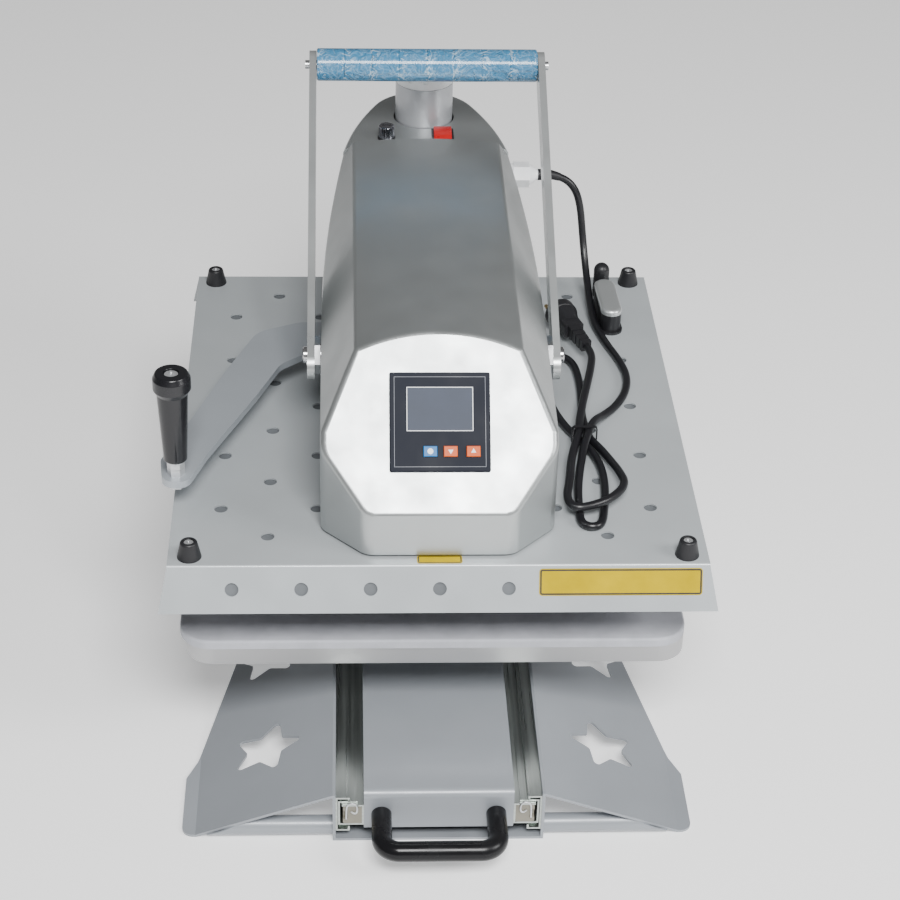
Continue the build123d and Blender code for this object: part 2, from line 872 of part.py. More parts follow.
guide_bush_r = guide_rod_r + running + guide_bush_wall
shaft_bush_r = shaft_r + running + shaft_bush_wall
lever_bolt_x = 20.0
lever_bolt_places = (62.0, 104.0)


def ring_z(x, y, inner, outer, z0, z1):
    """A plain ring about a vertical axis."""
    return disc_z(x, y, outer, z0, z1) - disc_z(x, y, inner, z0 - 1, z1 + 1)


def ring_x(y, z, inner, outer, x0, x1):
    """A plain ring about an axis along X."""
    return disc_x(y, z, outer, x0, x1) - disc_x(y, z, inner, x0 - 1, x1 + 1)


def guide_bush_solid(x, y):
    """Flanged guide bush."""
    z0 = guide_plate_z
    z1 = z0 + guide_plate_thick
    barrel = ring_z(x, y, guide_rod_r + running, guide_bush_r, z0, z1)
    return barrel + ring_z(x, y, guide_rod_r + running, guide_bush_r + 2, z1, z1 + guide_bush_flange)


guide_places = [(sx * guide_x, pivot_y + sy * guide_spread) for sx in (-1, 1) for sy in (-1, 1)]
cheek_mid = beam_half + cheek_thick / 2
column_bush_spans = ((sleeve_bottom, sleeve_bottom + bush_length), (plug_low - 6 - bush_length, plug_low - 6))
save("swing_arm", swing_arm_solid())
save("arm_cheeks", group([cheek_solid(), mirrored(cheek_solid())]))
column_fit_r = column_r + running
column_bushes = [ring_z(0, column_y, column_fit_r, sleeve_bore_r, z0, z1) for z0, z1 in column_bush_spans]
shaft_bush = ring_x(pivot_y, pivot_z, shaft_r + running, shaft_bush_r, beam_half, beam_half + cheek_thick)
guide_bushes = [guide_bush_solid(x, y) for x, y in guide_places]
save("arm_bushes", group(column_bushes + guide_bushes + [shaft_bush, mirrored(shaft_bush)]))


# Press bridge with rods, return springs and the roller
roller_z = pivot_z - cam_low_r - roller_r - touch_gap
spring_low = guide_plate_z + guide_plate_thick + guide_bush_flange
spring_high = spring_low + spring_length


def bridge_solid():
    """Bridge plate with the roller's fork."""
    bridge = block(-bridge_half, bridge_half, pivot_y - bridge_half_depth, pivot_y + bridge_half_depth,
                   bridge_low, bridge_top)
    bridge = fillet(bridge.edges().filter_by(Axis.Z), 10)
    ear_in = roller_width / 2 + 0.5
    for side in (-1, 1):
        x0, x1 = sorted((side * ear_in, side * (ear_in + fork_thick)))
        ear = block(x0, x1, pivot_y - 13, pivot_y + 13, bridge_top, roller_z)
        bridge = bridge + ear + disc_x(pivot_y, roller_z, 13, x0, x1)
    return bridge - disc_x(pivot_y, roller_z, roller_pin_r, -40, 40)


def guide_rod_solid(x, y):
    return chamfer(disc_z(x, y, guide_rod_r, bridge_top, spring_high + 14).edges(), 0.8)


def rod_nut_solid(x, y):
    """Washer and nut on a guide rod."""
    washer = ring_z(x, y, guide_rod_r, rod_washer_r, spring_high, spring_high + rod_washer_thick)
    low = spring_high + rod_washer_thick
    nut = hex_z(x, y, 18, low, low + 9) - disc_z(x, y, guide_rod_r, low - 1, low + 10)
    return washer + nut


def spring_solid(x, y):
    """Return spring between the guide ear and the rod's washer."""
    rise = spring_length - spring_wire_high - 0.6
    path = Helix(pitch=rise / spring_turns, height=rise, radius=spring_coil_r)
    path = Pos(x, y, spring_low + spring_wire_high / 2 + 0.3) * path
    across = Plane(origin=path @ 0, x_dir=(1, 0, 0), z_dir=path % 0)
    return sweep(across * Rectangle(spring_wire_wide, spring_wire_high), path=path, is_frenet=True)


save("press_bridge", bridge_solid())
save("guide_rods", group([guide_rod_solid(x, y) for x, y in guide_places]))
rod_nuts = [rod_nut_solid(x, y) for x, y in guide_places]
save("platen_fixings", group(rod_nuts + [bumper_screw_solid(x, y) for x, y in bumper_places]))
save("return_springs", group([spring_solid(x, y) for x, y in guide_places]))
save("roller_pin", disc_x(pivot_y, roller_z, roller_pin_r, -20, 20))
roller_half = roller_width / 2
save("cam_roller", ring_x(pivot_y, roller_z, roller_pin_r + running, roller_r, -roller_half, roller_half))


# Handle with its shaft and cam
lean = math.radians(handle_lean)
grip_y = pivot_y + handle_length * math.sin(lean)
grip_z = pivot_z + handle_length * math.cos(lean)
arm_inner = arm_offset - arm_thick / 2
arm_outer = arm_offset + arm_thick / 2


def cam_solid():
    """Rising cam: its radius grows evenly with the handle's angle."""
    sweep_angle = math.radians(handle_sweep)
    rise = press_travel / sweep_angle
    centre_r = cam_low_r + roller_r + touch_gap
    points = []
    for step in range(13):
        angle = -0.12 + (sweep_angle + 0.24) * step / 12
        reach = centre_r + rise * angle
        down = (-math.sin(angle), -math.cos(angle))
        along = (-math.cos(angle), math.sin(angle))
        size = math.hypot(reach, rise)
        offset_r = roller_r + touch_gap
        y = reach * down[0] - offset_r * (reach * down[0] - rise * along[0]) / size
        z = reach * down[1] - offset_r * (reach * down[1] - rise * along[1]) / size
        points.append((y, z))
    edge = Spline(*points)
    close = Polyline(points[-1], (0, 0), points[0])
    outline = Sketch() + make_face(edge.edges() + close.edges()) + Circle(cam_low_r - 4)
    plane = Plane(origin=(0, pivot_y, pivot_z), x_dir=(0, 1, 0), z_dir=(1, 0, 0))
    cam = extrude(plane * outline, amount=cam_thick / 2, both=True)
    return cam - disc_x(pivot_y, pivot_z, shaft_r, -cam_thick, cam_thick)


def shaft_solid():
    """Cross shaft with a thinner stub through each arm."""
    shaft = disc_x(pivot_y, pivot_z, shaft_r, -arm_inner, arm_inner)
    end = arm_outer + stub_reach
    stubs = disc_x(pivot_y, pivot_z, stub_r, -end, end)
    stubs = chamfer(stubs.edges().filter_by(GeomType.CIRCLE), 1.2)
    return shaft + stubs


def shaft_nut_solid():
    """Thin nut between the hood and an arm."""
    x1 = arm_inner
    x0 = x1 - shaft_nut_thick
    nut = hex_x(pivot_y, pivot_z, shaft_nut_flats, x0, x1)
    return nut - disc_x(pivot_y, pivot_z, shaft_r, x0 - 1, x1 + 1)


def handle_arm_solid():
    """Flat arm with round ends, bored for the shaft and the grip rod."""
    along = (0, math.sin(lean), math.cos(lean))
    plane = Plane(origin=(arm_offset, pivot_y, pivot_z), x_dir=along, z_dir=(1, 0, 0))
    long = handle_length + arm_tail
    outline = Pos((handle_length - arm_tail) / 2, 0) * SlotCenterToCenter(long, arm_width)
    arm = extrude(plane * outline, amount=arm_thick / 2, both=True)
    arm = arm - disc_x(pivot_y, pivot_z, stub_r, arm_inner - 1, arm_outer + 1)
    return arm - disc_x(grip_y, grip_z, grip_rod_r, arm_inner - 1, arm_outer + 1)


def hand_grip_solid():
    """Long hand grip that turns on its rod."""
    end = arm_inner - grip_end_gap
    grip = fillet(disc_x(grip_y, grip_z, grip_r, -end, end).edges().filter_by(GeomType.CIRCLE), 2)
    return grip - disc_x(grip_y, grip_z, grip_rod_r + running, -end - 1, end + 1)


save("press_cam", cam_solid())
save("handle_shaft", shaft_solid())
save("shaft_nuts", group([shaft_nut_solid(), mirrored(shaft_nut_solid())]))
save("handle_arms", group([handle_arm_solid(), mirrored(handle_arm_solid())]))
save("grip_rod", disc_x(grip_y, grip_z, grip_rod_r, -arm_outer - grip_rod_reach, arm_outer + grip_rod_reach))
save("hand_grip", hand_grip_solid())


# Hood over the arm
def hood_section(y, edge_x, edge_z, run, drop, crown_z, inset):
    """Cross-section of the hood: bevelled shoulders and a crowned top."""
    out = hood_half + 8
    steps = (out - edge_x) / run
    low = edge_z - steps * drop - inset * 1.2
    ex = edge_x - inset * 0.5
    ez = edge_z - inset
    floor = hood_bottom - 10
    plane = Plane(origin=(0, y, 0), x_dir=(1, 0, 0), z_dir=(0, -1, 0))
    sides = Polyline((-ex, ez), (-out, low), (-out, floor), (out, floor), (out, low), (ex, ez))
    crown = ThreePointArc((ex, ez), (0, crown_z - inset), (-ex, ez))
    return plane * make_face(sides.edges() + crown.edges())


def hood_side(y):
    """Half-width of the hood behind its middle, where the side starts to curve in."""
    return hood_half - (hood_half - dome_half) * (y / dome_y) ** 2


def hood_plan(inset):
    """Plan of the hood: clipped nose, long sides and a round back."""
    nose = Polyline((-hood_half, 0), (-hood_half, hood_cheek_y), (-hood_nose_half, hood_front),
                    (hood_nose_half, hood_front), (hood_half, hood_cheek_y), (hood_half, 0))
    right = TangentArc((hood_half, 0), (dome_half, dome_y), tangent=(0, 1))
    left = TangentArc((-hood_half, 0), (-dome_half, dome_y), tangent=(0, 1))
    on = right % 1
    turn = math.radians(dome_end_turn)
    chord = (math.atan2(on.Y, on.X) + math.pi / 2 + turn) / 2
    reach = dome_half * math.sin(chord) + (dome_back - dome_y) * math.cos(chord)
    end_r = reach / (math.cos(turn) * math.sin(chord) + (1 - math.sin(turn)) * math.cos(chord))
    join_x = end_r * math.cos(turn)
    join_y = dome_back - end_r + end_r * math.sin(turn)
    right_back = TangentArc((dome_half, dome_y), (join_x, join_y), tangent=(on.X, on.Y))
    left_back = TangentArc((-dome_half, dome_y), (-join_x, join_y), tangent=(-on.X, on.Y))
    end = ThreePointArc((join_x, join_y), (0, dome_back), (-join_x, join_y))
    edges = nose.edges() + right.edges() + right_back.edges() + end.edges() + left_back.edges() + left.edges()
    outline = Sketch() + make_face(edges)
    outline = fillet([v for v in outline.vertices() if v.Y < hood_cheek_y + 5], hood_corner_r)
    return offset(outline, amount=-inset) if inset else outline


def hood_block(inset, floor):
    """The hood as a solid, inset by a wall where it is the inner form."""
    front = hood_section(-330, front_edge_x, front_edge_z, front_bevel_run, front_bevel_drop,
                         front_crown_z, inset)
    rear = hood_section(hood_top_rear, rear_edge_x, rear_edge_z, rear_bevel_run, rear_bevel_drop,
                        rear_crown_z, inset)
    body = loft([front, rear], ruled=True)
    slope = math.radians(face_angle)
    rise = 180.0
    y0 = hood_front + inset
    z0 = skirt_top - inset * math.tan(slope / 2)
    y1 = y0 + rise / math.tan(slope)
    y2 = hood_top_rear - inset
    side = [(y0, floor), (y0, z0), (y1, z0 + rise), (y2, z0 + rise), (y2, floor)]
    plan = hood_plan(inset)
    shell = prism_z(plan, floor, crown_limit)
    nose = body & prism_x(side, -200, 200) & shell
    y3 = hood_top_rear + inset
    low_plan = prism_z(plan, floor, deck_z - inset)
    back = low_plan & block(-200, 200, y3, 600, floor, crown_limit)
    if inset:
        rear_end = hood_section(hood_top_rear, rear_edge_x, rear_edge_z, rear_bevel_run, rear_bevel_drop,
                                rear_crown_z, inset)
        back = back + (low_plan & extrude(rear_end, amount=inset + 1, both=True))
    return nose, back


crown_limit = 500.0


def hood_solid():
    """Painted hood with its openings."""
    nose, back = hood_block(0, hood_bottom)
    sharp = [e for e in nose.edges() if e.center().Z > skirt_top - 1 and e.center().Y < hood_top_rear - 2]
    nose = fillet([e for e in sharp if abs(e.center().X) < hood_half + 1 and not vertical(e)], hood_edge_r)
    rim = [e for e in back.edges().group_by(Axis.Z)[-1] if e.center().Y > hood_top_rear + 1]
    back = fillet(rim, hood_edge_r)
    inner_nose, inner_back = hood_block(hood_wall, hood_bottom - 1)
    hood = (nose + back) - inner_nose - inner_back
    hood = hood - disc_x(pivot_y, pivot_z, shaft_r + 2.5, -200, 200)
    hood = hood - disc_z(0, column_y, sleeve_r + 2, deck_z - 20, deck_z + 20)
    hood = hood - disc_x(gland_y, gland_z, 9.2, 50, 200)
    hood = hood - disc_z(fuse_x, fuse_y, fuse_r, deck_z - 20, deck_z + 20)
    hole_x = switch_width / 2 - 1.0
    hole_y = switch_length / 2 - 1.0
    hood = hood - block(switch_x - hole_x, switch_x + hole_x, switch_y - hole_y, switch_y + hole_y,
                        deck_z - 20, deck_z + 20)
    hood = hood - controller_plane() * Box(controller_case + 1, controller_case + 1, 40)
    return hood - block(-200, 0, lever_slot[0], lever_slot[1], hood_bottom - 1, beam_bottom + 2)


def vertical(edge):
    """True for an edge that runs straight up."""
    return edge.geom_type == GeomType.LINE and abs((edge % 0).Z) > 0.99


def controller_plane():
    """Local frame on the sloping face: X right, Y up the face, Z out of it."""
    slope = math.radians(face_angle)
    y = hood_front + controller_up_face * math.cos(slope)
    z = skirt_top + controller_up_face * math.sin(slope)
    return Location(Plane(origin=(0, y, z), x_dir=(1, 0, 0), z_dir=(0, -math.sin(slope), math.cos(slope))))


lever_slot = (38.0, 128.0)
save("hood", hood_solid())


# Controller
def controller_case_solid():
    """Case behind the face with the bezel in front of it."""
    bezel = Pos(0, 0, controller_bezel / 2) * Box(controller_size, controller_size, controller_bezel)
    bezel = fillet(bezel.edges().filter_by(Axis.Z), 2)
    bezel = chamfer(bezel.faces().sort_by(Axis.Z)[-1].outer_wire().edges(), 1)
    case = Pos(0, 0, -controller_depth / 2) * Box(controller_case, controller_case, controller_depth)
    case = case + bezel
    case = case - Pos(0, window_up, controller_bezel) * Box(window_width, window_height, window_thick * 2)
    for x in button_x:
        pocket = Box(button_width + 2 * button_gap, button_height + 2 * button_gap, 16)
        case = case - Pos(x, button_up, controller_bezel - 8 + 0.001) * pocket
    return controller_plane() * case


def controller_window_solid():
    """Display window."""
    window = Box(window_width, window_height, window_thick)
    return controller_plane() * Pos(0, window_up, controller_bezel - window_thick / 2) * window


def button_solid(x):
    """A key that travels into its pocket."""
    top = controller_bezel + button_proud
    key = Pos(x, button_up, top - 4) * Box(button_width, button_height, 8)
    key = fillet(key.edges().group_by(Axis.Z)[-1], 0.8)
    return controller_plane() * key


save("controller_case", controller_case_solid())
save("controller_window", controller_window_solid())
for colour, x in zip(("set", "down", "up"), button_x):
    save("button_" + colour, button_solid(x))


# Cable gland, fuse, switch and knob
gland_seat = hood_side(gland_y - gland_nut_r) + 0.2
gland_end = gland_seat + gland_reach


def gland_solid():
    """Cable gland through the hood's side."""
    seat = gland_seat
    body = disc_x(gland_y, gland_z, 9.0, seat - 15, seat)
    body = body + disc_x(gland_y, gland_z, gland_nut_r, seat, seat + 12)
    hexagon = hex_x(gland_y, gland_z, gland_body_flats, seat + 12, seat + 31)
    dome = Pos(seat + 31 + 4, gland_y, gland_z) * Rot(0, 90, 0) * Cone(13, 8, 8)
    seal = disc_x(gland_y, gland_z, 6.5, seat + 39, gland_end)
    lock_nut = hex_x(gland_y, gland_z, 22, seat - 13, seat - 8)
    return body + hexagon + dome + seal + lock_nut


def fuse_holder_solid():
    """Fuse holder under the deck."""
    flange = disc_z(fuse_x, fuse_y, fuse_cap_r + 1, deck_z, deck_z + 2)
    holder = flange + disc_z(fuse_x, fuse_y, fuse_r - 0.2, deck_z - 32, deck_z)
    return holder - disc_z(fuse_x, fuse_y, 5.0, deck_z - 26, deck_z + 3)


def fuse_cap_solid():
    """Bayonet cap of the fuse holder, with a ribbed rim and a slot."""
    low = deck_z + 2 + 0.3
    high = deck_z + fuse_cap_height
    cap = disc_z(fuse_x, fuse_y, fuse_cap_r, low, high)
    cap = fillet(cap.edges().group_by(Axis.Z)[-1], 2)
    ribs = 12
    for number in range(ribs):
        angle = 2 * math.pi * number / ribs
        x = fuse_x + (fuse_cap_r + 1.2) * math.cos(angle)
        y = fuse_y + (fuse_cap_r + 1.2) * math.sin(angle)
        cap = cap - disc_z(x, y, 1.8, low + 3, high + 1)
    cap = cap - block(fuse_x - 5.5, fuse_x + 5.5, fuse_y - 0.9, fuse_y + 0.9, high - 2.2, high + 1)
    return cap + disc_z(fuse_x, fuse_y, 4.9, deck_z - 18, low)


def switch_frame_solid():
    """Snap-in frame of the rocker switch."""
    frame = block(switch_x - switch_width / 2, switch_x + switch_width / 2,
                  switch_y - switch_length / 2, switch_y + switch_length / 2, deck_z, deck_z + 2)
    body_x = switch_width / 2 - 1.2
    body_y = switch_length / 2 - 1.2
    body = block(switch_x - body_x, switch_x + body_x, switch_y - body_y, switch_y + body_y,
                 deck_z - 22, deck_z)
    room_x = switch_width / 2 - 2.2
    room_y = switch_length / 2 - 2.2
    room = block(switch_x - room_x, switch_x + room_x, switch_y - room_y, switch_y + room_y,
                 deck_z - 14, deck_z + 3)
    return frame + body - room


rocker_axis_z = deck_z + 1.0


def rocker_solid():
    """Two-lobed rocker, resting on its off side."""
    half = switch_length / 2 - 3.2
    tilt = rocker_half_angle
    outline = [(-half, 0), (-half, 3.0), (-half * 0.5, 4.6), (0, 5.0), (half * 0.5, 4.6), (half, 3.0),
               (half, 0), (5, -7), (-5, -7)]
    width = switch_width - 5
    plane = Plane(origin=(switch_x, switch_y, rocker_axis_z), x_dir=(0, 1, 0), z_dir=(1, 0, 0))
    rocker = extrude(plane * Polygon(*outline, align=None), amount=width / 2, both=True)
    return rocker.rotate(Axis((switch_x, switch_y, rocker_axis_z), (1, 0, 0)), tilt)


def knob_solid():
    """Pressure knob with its screw."""
    low = sleeve_top + 0.5
    body = Pos(0, column_y, low + 6) * Cone(knob_low_r, knob_top_r, 12)
    body = body + disc_z(0, column_y, knob_top_r, low + 12, low + knob_height)
    flutes = 12
    for number in range(flutes):
        angle = 2 * math.pi * number / flutes
        x = (knob_top_r + 3.5) * math.cos(angle)
        y = column_y + (knob_top_r + 3.5) * math.sin(angle)
        body = body - disc_z(x, y, 5, low + 9, low + knob_height + 1)
    return body + disc_z(0, column_y, spindle_r, column_top + 0.5, low)


save("cable_gland", gland_solid())
save("fuse_holder", fuse_holder_solid())
save("fuse_cap", fuse_cap_solid())
save("switch_frame", switch_frame_solid())
save("switch_rocker", rocker_solid())
save("pressure_knob", knob_solid())


# Swing lever
def lever_solid():
    """Flat lever, curved in plan, bolted under the beam."""
    tip_x = lever_tip_x
    corners = [(beam_half, 48, 0), (beam_half, 118, 0), (-148, 118, 30), (-196, 96, 34), (-229, 8, 60),
               (-259, -84, 60), (tip_x - 18, -168, 16), (tip_x - 14, -208, 14), (tip_x + 12, -210, 14),
               (tip_x + 30, -156, 40), (-192, -40, 60), (-168, 24, 30), (-140, 48, 22)]
    outline = Sketch() + Polygon(*[(x, y) for x, y, r in corners], align=None)
    for x, y, r in corners:
        if r:
            vertex = outline.vertices().sort_by_distance((x, y, 0))[0]
            outline = fillet(vertex, r)
    lever = prism_z(outline, beam_bottom - lever_thick, beam_bottom)
    lever = lever - disc_z(lever_tip_x, lever_tip_y, lever_bolt_r, beam_bottom - 20, beam_bottom + 1)
    for x in (-1, 1):
        for y in lever_bolt_places:
            lever = lever - disc_z(x * lever_bolt_x, y, 4.2, beam_bottom - 20, beam_bottom + 1)
    return lever


lever_grip_low = beam_bottom + lever_nut_stack


def lever_grip_solid():
    """Tapered grip with a mushroom head, turning on its bolt."""
    high = lever_grip_low + lever_grip_height
    neck = high - 24
    profile = [(lever_bolt_r + running, lever_grip_low), (lever_grip_low_r, lever_grip_low),
               (lever_grip_high_r, neck), (lever_grip_head_r, neck + 6), (lever_grip_head_r, high - 6),
               (lever_grip_head_r - 3, high), (8.0, high), (8.0, high - 5),
               (lever_bolt_r + running, high - 5)]
    face = Plane.XZ * (Sketch() + Polygon(*profile, align=None))
    grip = revolve(face, axis=Axis.Z)
    rims = [e for e in grip.edges() if e.geom_type == GeomType.CIRCLE and e.radius > lever_grip_low_r - 1]
    grip = fillet([e for e in rims if e.center().Z > neck + 9 or e.center().Z < lever_grip_low + 1], 2.0)
    return Pos(lever_tip_x, lever_tip_y, 0) * grip


def grip_bolt_solid():
    """Bolt of the lever grip with its two nuts and a washer."""
    head_seat = lever_grip_low + lever_grip_height - 5
    x, y = lever_tip_x, lever_tip_y
    bolt = disc_z(x, y, lever_bolt_r, beam_bottom - lever_thick - 8, head_seat)
    head = disc_z(x, y, 7.0, head_seat + 0.3, head_seat + 3.3)
    head = head + disc_z(x, y, lever_bolt_r, head_seat, head_seat + 1)
    cross = block(x - 4, x + 4, y - 0.8, y + 0.8, head_seat + 1.5, head_seat + 4)
    cross = cross + block(x - 0.8, x + 0.8, y - 4, y + 4, head_seat + 1.5, head_seat + 4)
    nuts = hex_z(x, y, 16, beam_bottom, beam_bottom + 8)
    nuts = nuts + hex_z(x, y, 16, beam_bottom + 8.4, beam_bottom + 16)
    nuts = nuts + disc_z(x, y, 10, beam_bottom + 16, lever_grip_low - 0.3)
    low_nut = hex_z(x, y, 16, beam_bottom - lever_thick - 7, beam_bottom - lever_thick)
    return bolt + head - cross + nuts + low_nut


def lever_screws_solid():
    """Screws of the swing lever into the beam."""
    return group([Pos(x * lever_bolt_x, y, beam_bottom - lever_thick)
                  * (Pos(0, 0, -2.5) * Cylinder(6.5, 5) + Pos(0, 0, 6) * Cylinder(4, 12))
                  for x in (-1, 1) for y in lever_bolt_places])


save("swing_lever", lever_solid())
save("lever_screws", lever_screws_solid())
save("lever_grip", lever_grip_solid())
save("grip_bolt", grip_bolt_solid())


# Brackets that carry the hood on the beam
def hood_bracket_solid():
    """Angle bracket from the beam's side to the hood's wall."""
    y0, y1 = 140.0, 170.0
    out = hood_side(y1) - hood_wall - 0.4
    foot = block(beam_half, beam_half + 3, y0, y1, beam_bottom + 10, beam_bottom + 50)
    shelf = block(beam_half + 3, out, y0, y1, beam_bottom + 10, beam_bottom + 13)
    tab = block(out - 3, out, y0, y1, beam_bottom + 13, beam_bottom + 50)
    return foot + shelf + tab


save("hood_brackets", group([hood_bracket_solid(), mirrored(hood_bracket_solid())]))


# Cord, hank, tie and plug
plug_axis_z = cover_top + plug_r + 0.5
plug_start = (184.0, 99.2)
plug_along = (-0.3021, 0.9533, 0)


def cord_path(points):
    """Straight runs joined by tangent arcs that use 0.45 of the shorter run."""
    corners = [Vector(*p) for p in points]
    radii = []
    for before, here, after in zip(corners, corners[1:], corners[2:]):
        turn = math.radians((here - before).get_angle(after - here))
        shorter = min((here - before).length, (after - here).length)
        radii.append(0.45 * shorter / math.tan(turn / 2))
    return FilletPolyline(*points, radius=radii), radii


def tube(points, radius):
    """A round cord swept along its path."""
    corners = [Vector(*p) for p in points]
    path, radii = cord_path(points)
    section = Plane(origin=points[0], z_dir=tuple(corners[1] - corners[0])) * Circle(radius)
    cord = sweep(section, path=path)
    expected = math.pi * radius ** 2 * path.length
    print("cord radii", [round(r) for r in radii], "length", round(path.length, 1),
          "volume ratio", round(cord.volume / expected, 4))
    return cord


cord_on_cover = cover_top + cord_r + 0.3
cord_in_tie = cover_top + 2 * tie_gap + tie_wall + cord_r
cord_layer = 2 * cord_r + 1.2
cord_over = cord_in_tie + cord_layer
lead_points = [
    (gland_end, gland_y, gland_z),
    (gland_end + 16, 300, 412),
    (172, 299, 406),
    (184, 297, 392),
    (190, 294, 370),
    (193, 288, 343),
    (196, 275, 315),
    (198, 250, 296),
    (198.5, 224, 287),
    (199, 206, 283.5),
]
hank_points = [
    (199, 206, 283.5),
    (199.444, 190, 280.389),
    (202.2, 165, 277.8),
    (211, 128, cord_on_cover),
    (222, 92, cord_on_cover),
    (228, 56, cord_on_cover),
    (222, 20, cord_on_cover),
    (207, -10, cord_on_cover),
    (192, -30, 278.5),
    (179, -52, 286.6),
    (170.5, -77, cord_over),
    (165.5, -95, cord_over),
    (161, -113, 286),
    (155.5, -140, 280.5),
    (151, -170, 277.2),
    (149, -203, cord_on_cover),
    (148, -239.5, cord_on_cover),
    (169.5, -242.5, cord_on_cover),
    (176, -205, cord_on_cover),
    (179.5, -175, cord_on_cover),
    (180.5, -148, cord_on_cover),
    (178, -122, 277.2),
    (170, -97, cord_in_tie),
    (159.5, -77, cord_in_tie),
    (149, -56, 277.8),
    (140, -28, cord_on_cover),
    (134, 2, cord_on_cover),
    (131, 37, cord_on_cover),
    (132, 71, cord_on_cover),
    (140, 96, cord_on_cover),
    (157, 101, cord_on_cover),
    (168.5, 84, cord_on_cover),
    (171.5, 50, cord_on_cover),
    (170.8, 15, cord_on_cover),
    (168, -20, 277.2),
    (168.5, -50, cord_in_tie),
    (171.5, -77, cord_in_tie),
    (182, -97, cord_in_tie),
    (190.5, -123, 279.8),
    (197, -150, 284),
    (201, -180, 287.4),
    (182, -207, 287.8),
    (160, -219.5, 287.8),
    (142, -224, 287.8),
    (135, -205, 287.8),
    (141.8, -170, 287.8),
    (146, -135, 287.8),
    (151.5, -110, 288),
    (156, -93, cord_over),
    (160, -75, cord_over),
    (163.2, -50, 289),
    (170, -15, 289.6),
    (178, 20, 290.4),
    (185, 54, 290.9),
    (189.2, 82.8, plug_axis_z),
    (plug_start[0], plug_start[1], plug_axis_z),
]
tie_y = -77.0
tie_left = 151.6
tie_right = 180.0


def least_gap(points, radius):
    """Least distance between parts of the tube that are apart along it."""
    path = cord_path(points)[0]
    count = int(path.length / 1.5)
    spots = [path.position_at(step / count) for step in range(count + 1)]
    apart = int(30 / 1.5)
    least = 1000.0
    for first in range(len(spots)):
        for second in range(first + apart, len(spots)):
            least = min(least, (spots[first] - spots[second]).length)
    return least - 2 * radius


def tie_solid():
    """Twist tie round the four runs of the hank."""
    low = cover_top + tie_gap
    high = cord_over + cord_r + tie_gap + tie_wall
    outer = block(tie_left, tie_right, tie_y - tie_width / 2, tie_y + tie_width / 2, low, high)
    outer = fillet(outer.edges().filter_by(Axis.Y), 4)
    inner = block(tie_left + tie_wall, tie_right - tie_wall, tie_y - tie_width, tie_y + tie_width,
                  low + tie_wall, high - tie_wall)
    return outer - fillet(inner.edges().filter_by(Axis.Y), 4 - tie_wall)


def plug_solid():
    """Earthed plug: ribbed square relief, stepped neck, flared body and two round pins."""
    relief = extrude(Rectangle(12, 12), amount=plug_relief, taper=-2)
    for step in range(3):
        z = 7 + step * 10
        relief = relief - Pos(0, 0, z) * (Box(40, 40, 2.4) - Box(11, 11, 2.4))
    neck = Pos(0, 0, plug_relief + plug_neck / 2) * Box(24, 17, plug_neck)
    neck = fillet(neck.edges().filter_by(Axis.Z), 3)
    low = plug_relief + plug_neck
    flare = Pos(0, 0, low + plug_flare / 2 - 2) * Cone(12, plug_r - 1, plug_flare + 4)
    disc = Pos(0, 0, low + plug_flare + plug_disc / 2) * Cylinder(plug_r, plug_disc)
    disc = fillet(disc.edges(), 2)
    plug = relief + neck + flare + disc
    for side in (-1, 1):
        pin_z = low + plug_flare + plug_disc + plug_pin / 2 - 1
        pin = Pos(side * plug_pin_pitch / 2, 0, pin_z) * Cylinder(2.4, plug_pin + 2)
        plug = plug + fillet(pin.edges().group_by(Axis.Z)[-1], 1.2)
    return plug_place() * plug


def plug_place():
    along = Vector(*plug_along)
    level = along.cross(Vector(0, 0, 1))
    return Location(Plane(origin=(plug_start[0], plug_start[1], plug_axis_z), x_dir=level, z_dir=along))


save("cord_lead", tube(lead_points, cord_r))
save("cord_hank", tube(hank_points, cord_r))
print("least gap of the hank to itself", round(least_gap(hank_points, cord_r), 2))
save("cord_tie", tie_solid())
save("plug", plug_solid())
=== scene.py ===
# %% [markdown]
# # A large format heat press
# A swing-away heat press with a drawer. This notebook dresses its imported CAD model: it adds the
# camera and the cord first, then a finish for every piece, then the small things a CAD model leaves
# out, and last the floor and the lights. Every length is in metres, in the CAD model's own frame.

# %% The frame
import bpy
import bmesh
import math
from mathutils import Matrix, Vector


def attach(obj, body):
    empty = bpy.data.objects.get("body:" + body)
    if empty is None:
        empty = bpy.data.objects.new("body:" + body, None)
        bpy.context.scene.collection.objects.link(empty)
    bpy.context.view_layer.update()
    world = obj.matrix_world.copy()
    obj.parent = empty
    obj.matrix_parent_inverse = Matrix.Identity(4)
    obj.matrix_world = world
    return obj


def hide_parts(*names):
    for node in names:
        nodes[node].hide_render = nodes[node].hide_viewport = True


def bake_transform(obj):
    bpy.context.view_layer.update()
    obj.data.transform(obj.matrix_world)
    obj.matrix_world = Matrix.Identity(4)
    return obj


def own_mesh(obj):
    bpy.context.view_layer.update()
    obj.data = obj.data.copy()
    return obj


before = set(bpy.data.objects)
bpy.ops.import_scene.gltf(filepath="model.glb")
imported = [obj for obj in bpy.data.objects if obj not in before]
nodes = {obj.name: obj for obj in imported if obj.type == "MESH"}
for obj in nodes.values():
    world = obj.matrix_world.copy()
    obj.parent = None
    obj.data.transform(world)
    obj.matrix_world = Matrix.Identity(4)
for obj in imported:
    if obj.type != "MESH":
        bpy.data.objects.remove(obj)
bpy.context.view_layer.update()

# %% [markdown]
# ## The camera
# The photograph is a long-lens view from a little above and slightly to the left. A camera can be
# placed by eye, but here its place was solved from edges whose real size is known, so the numbers
# below are a target, two angles, a roll and a distance. The lens follows from the view's width.

# %% Camera
VIEW_WIDTH_PX = 900
FOCAL_PX = 2209.6


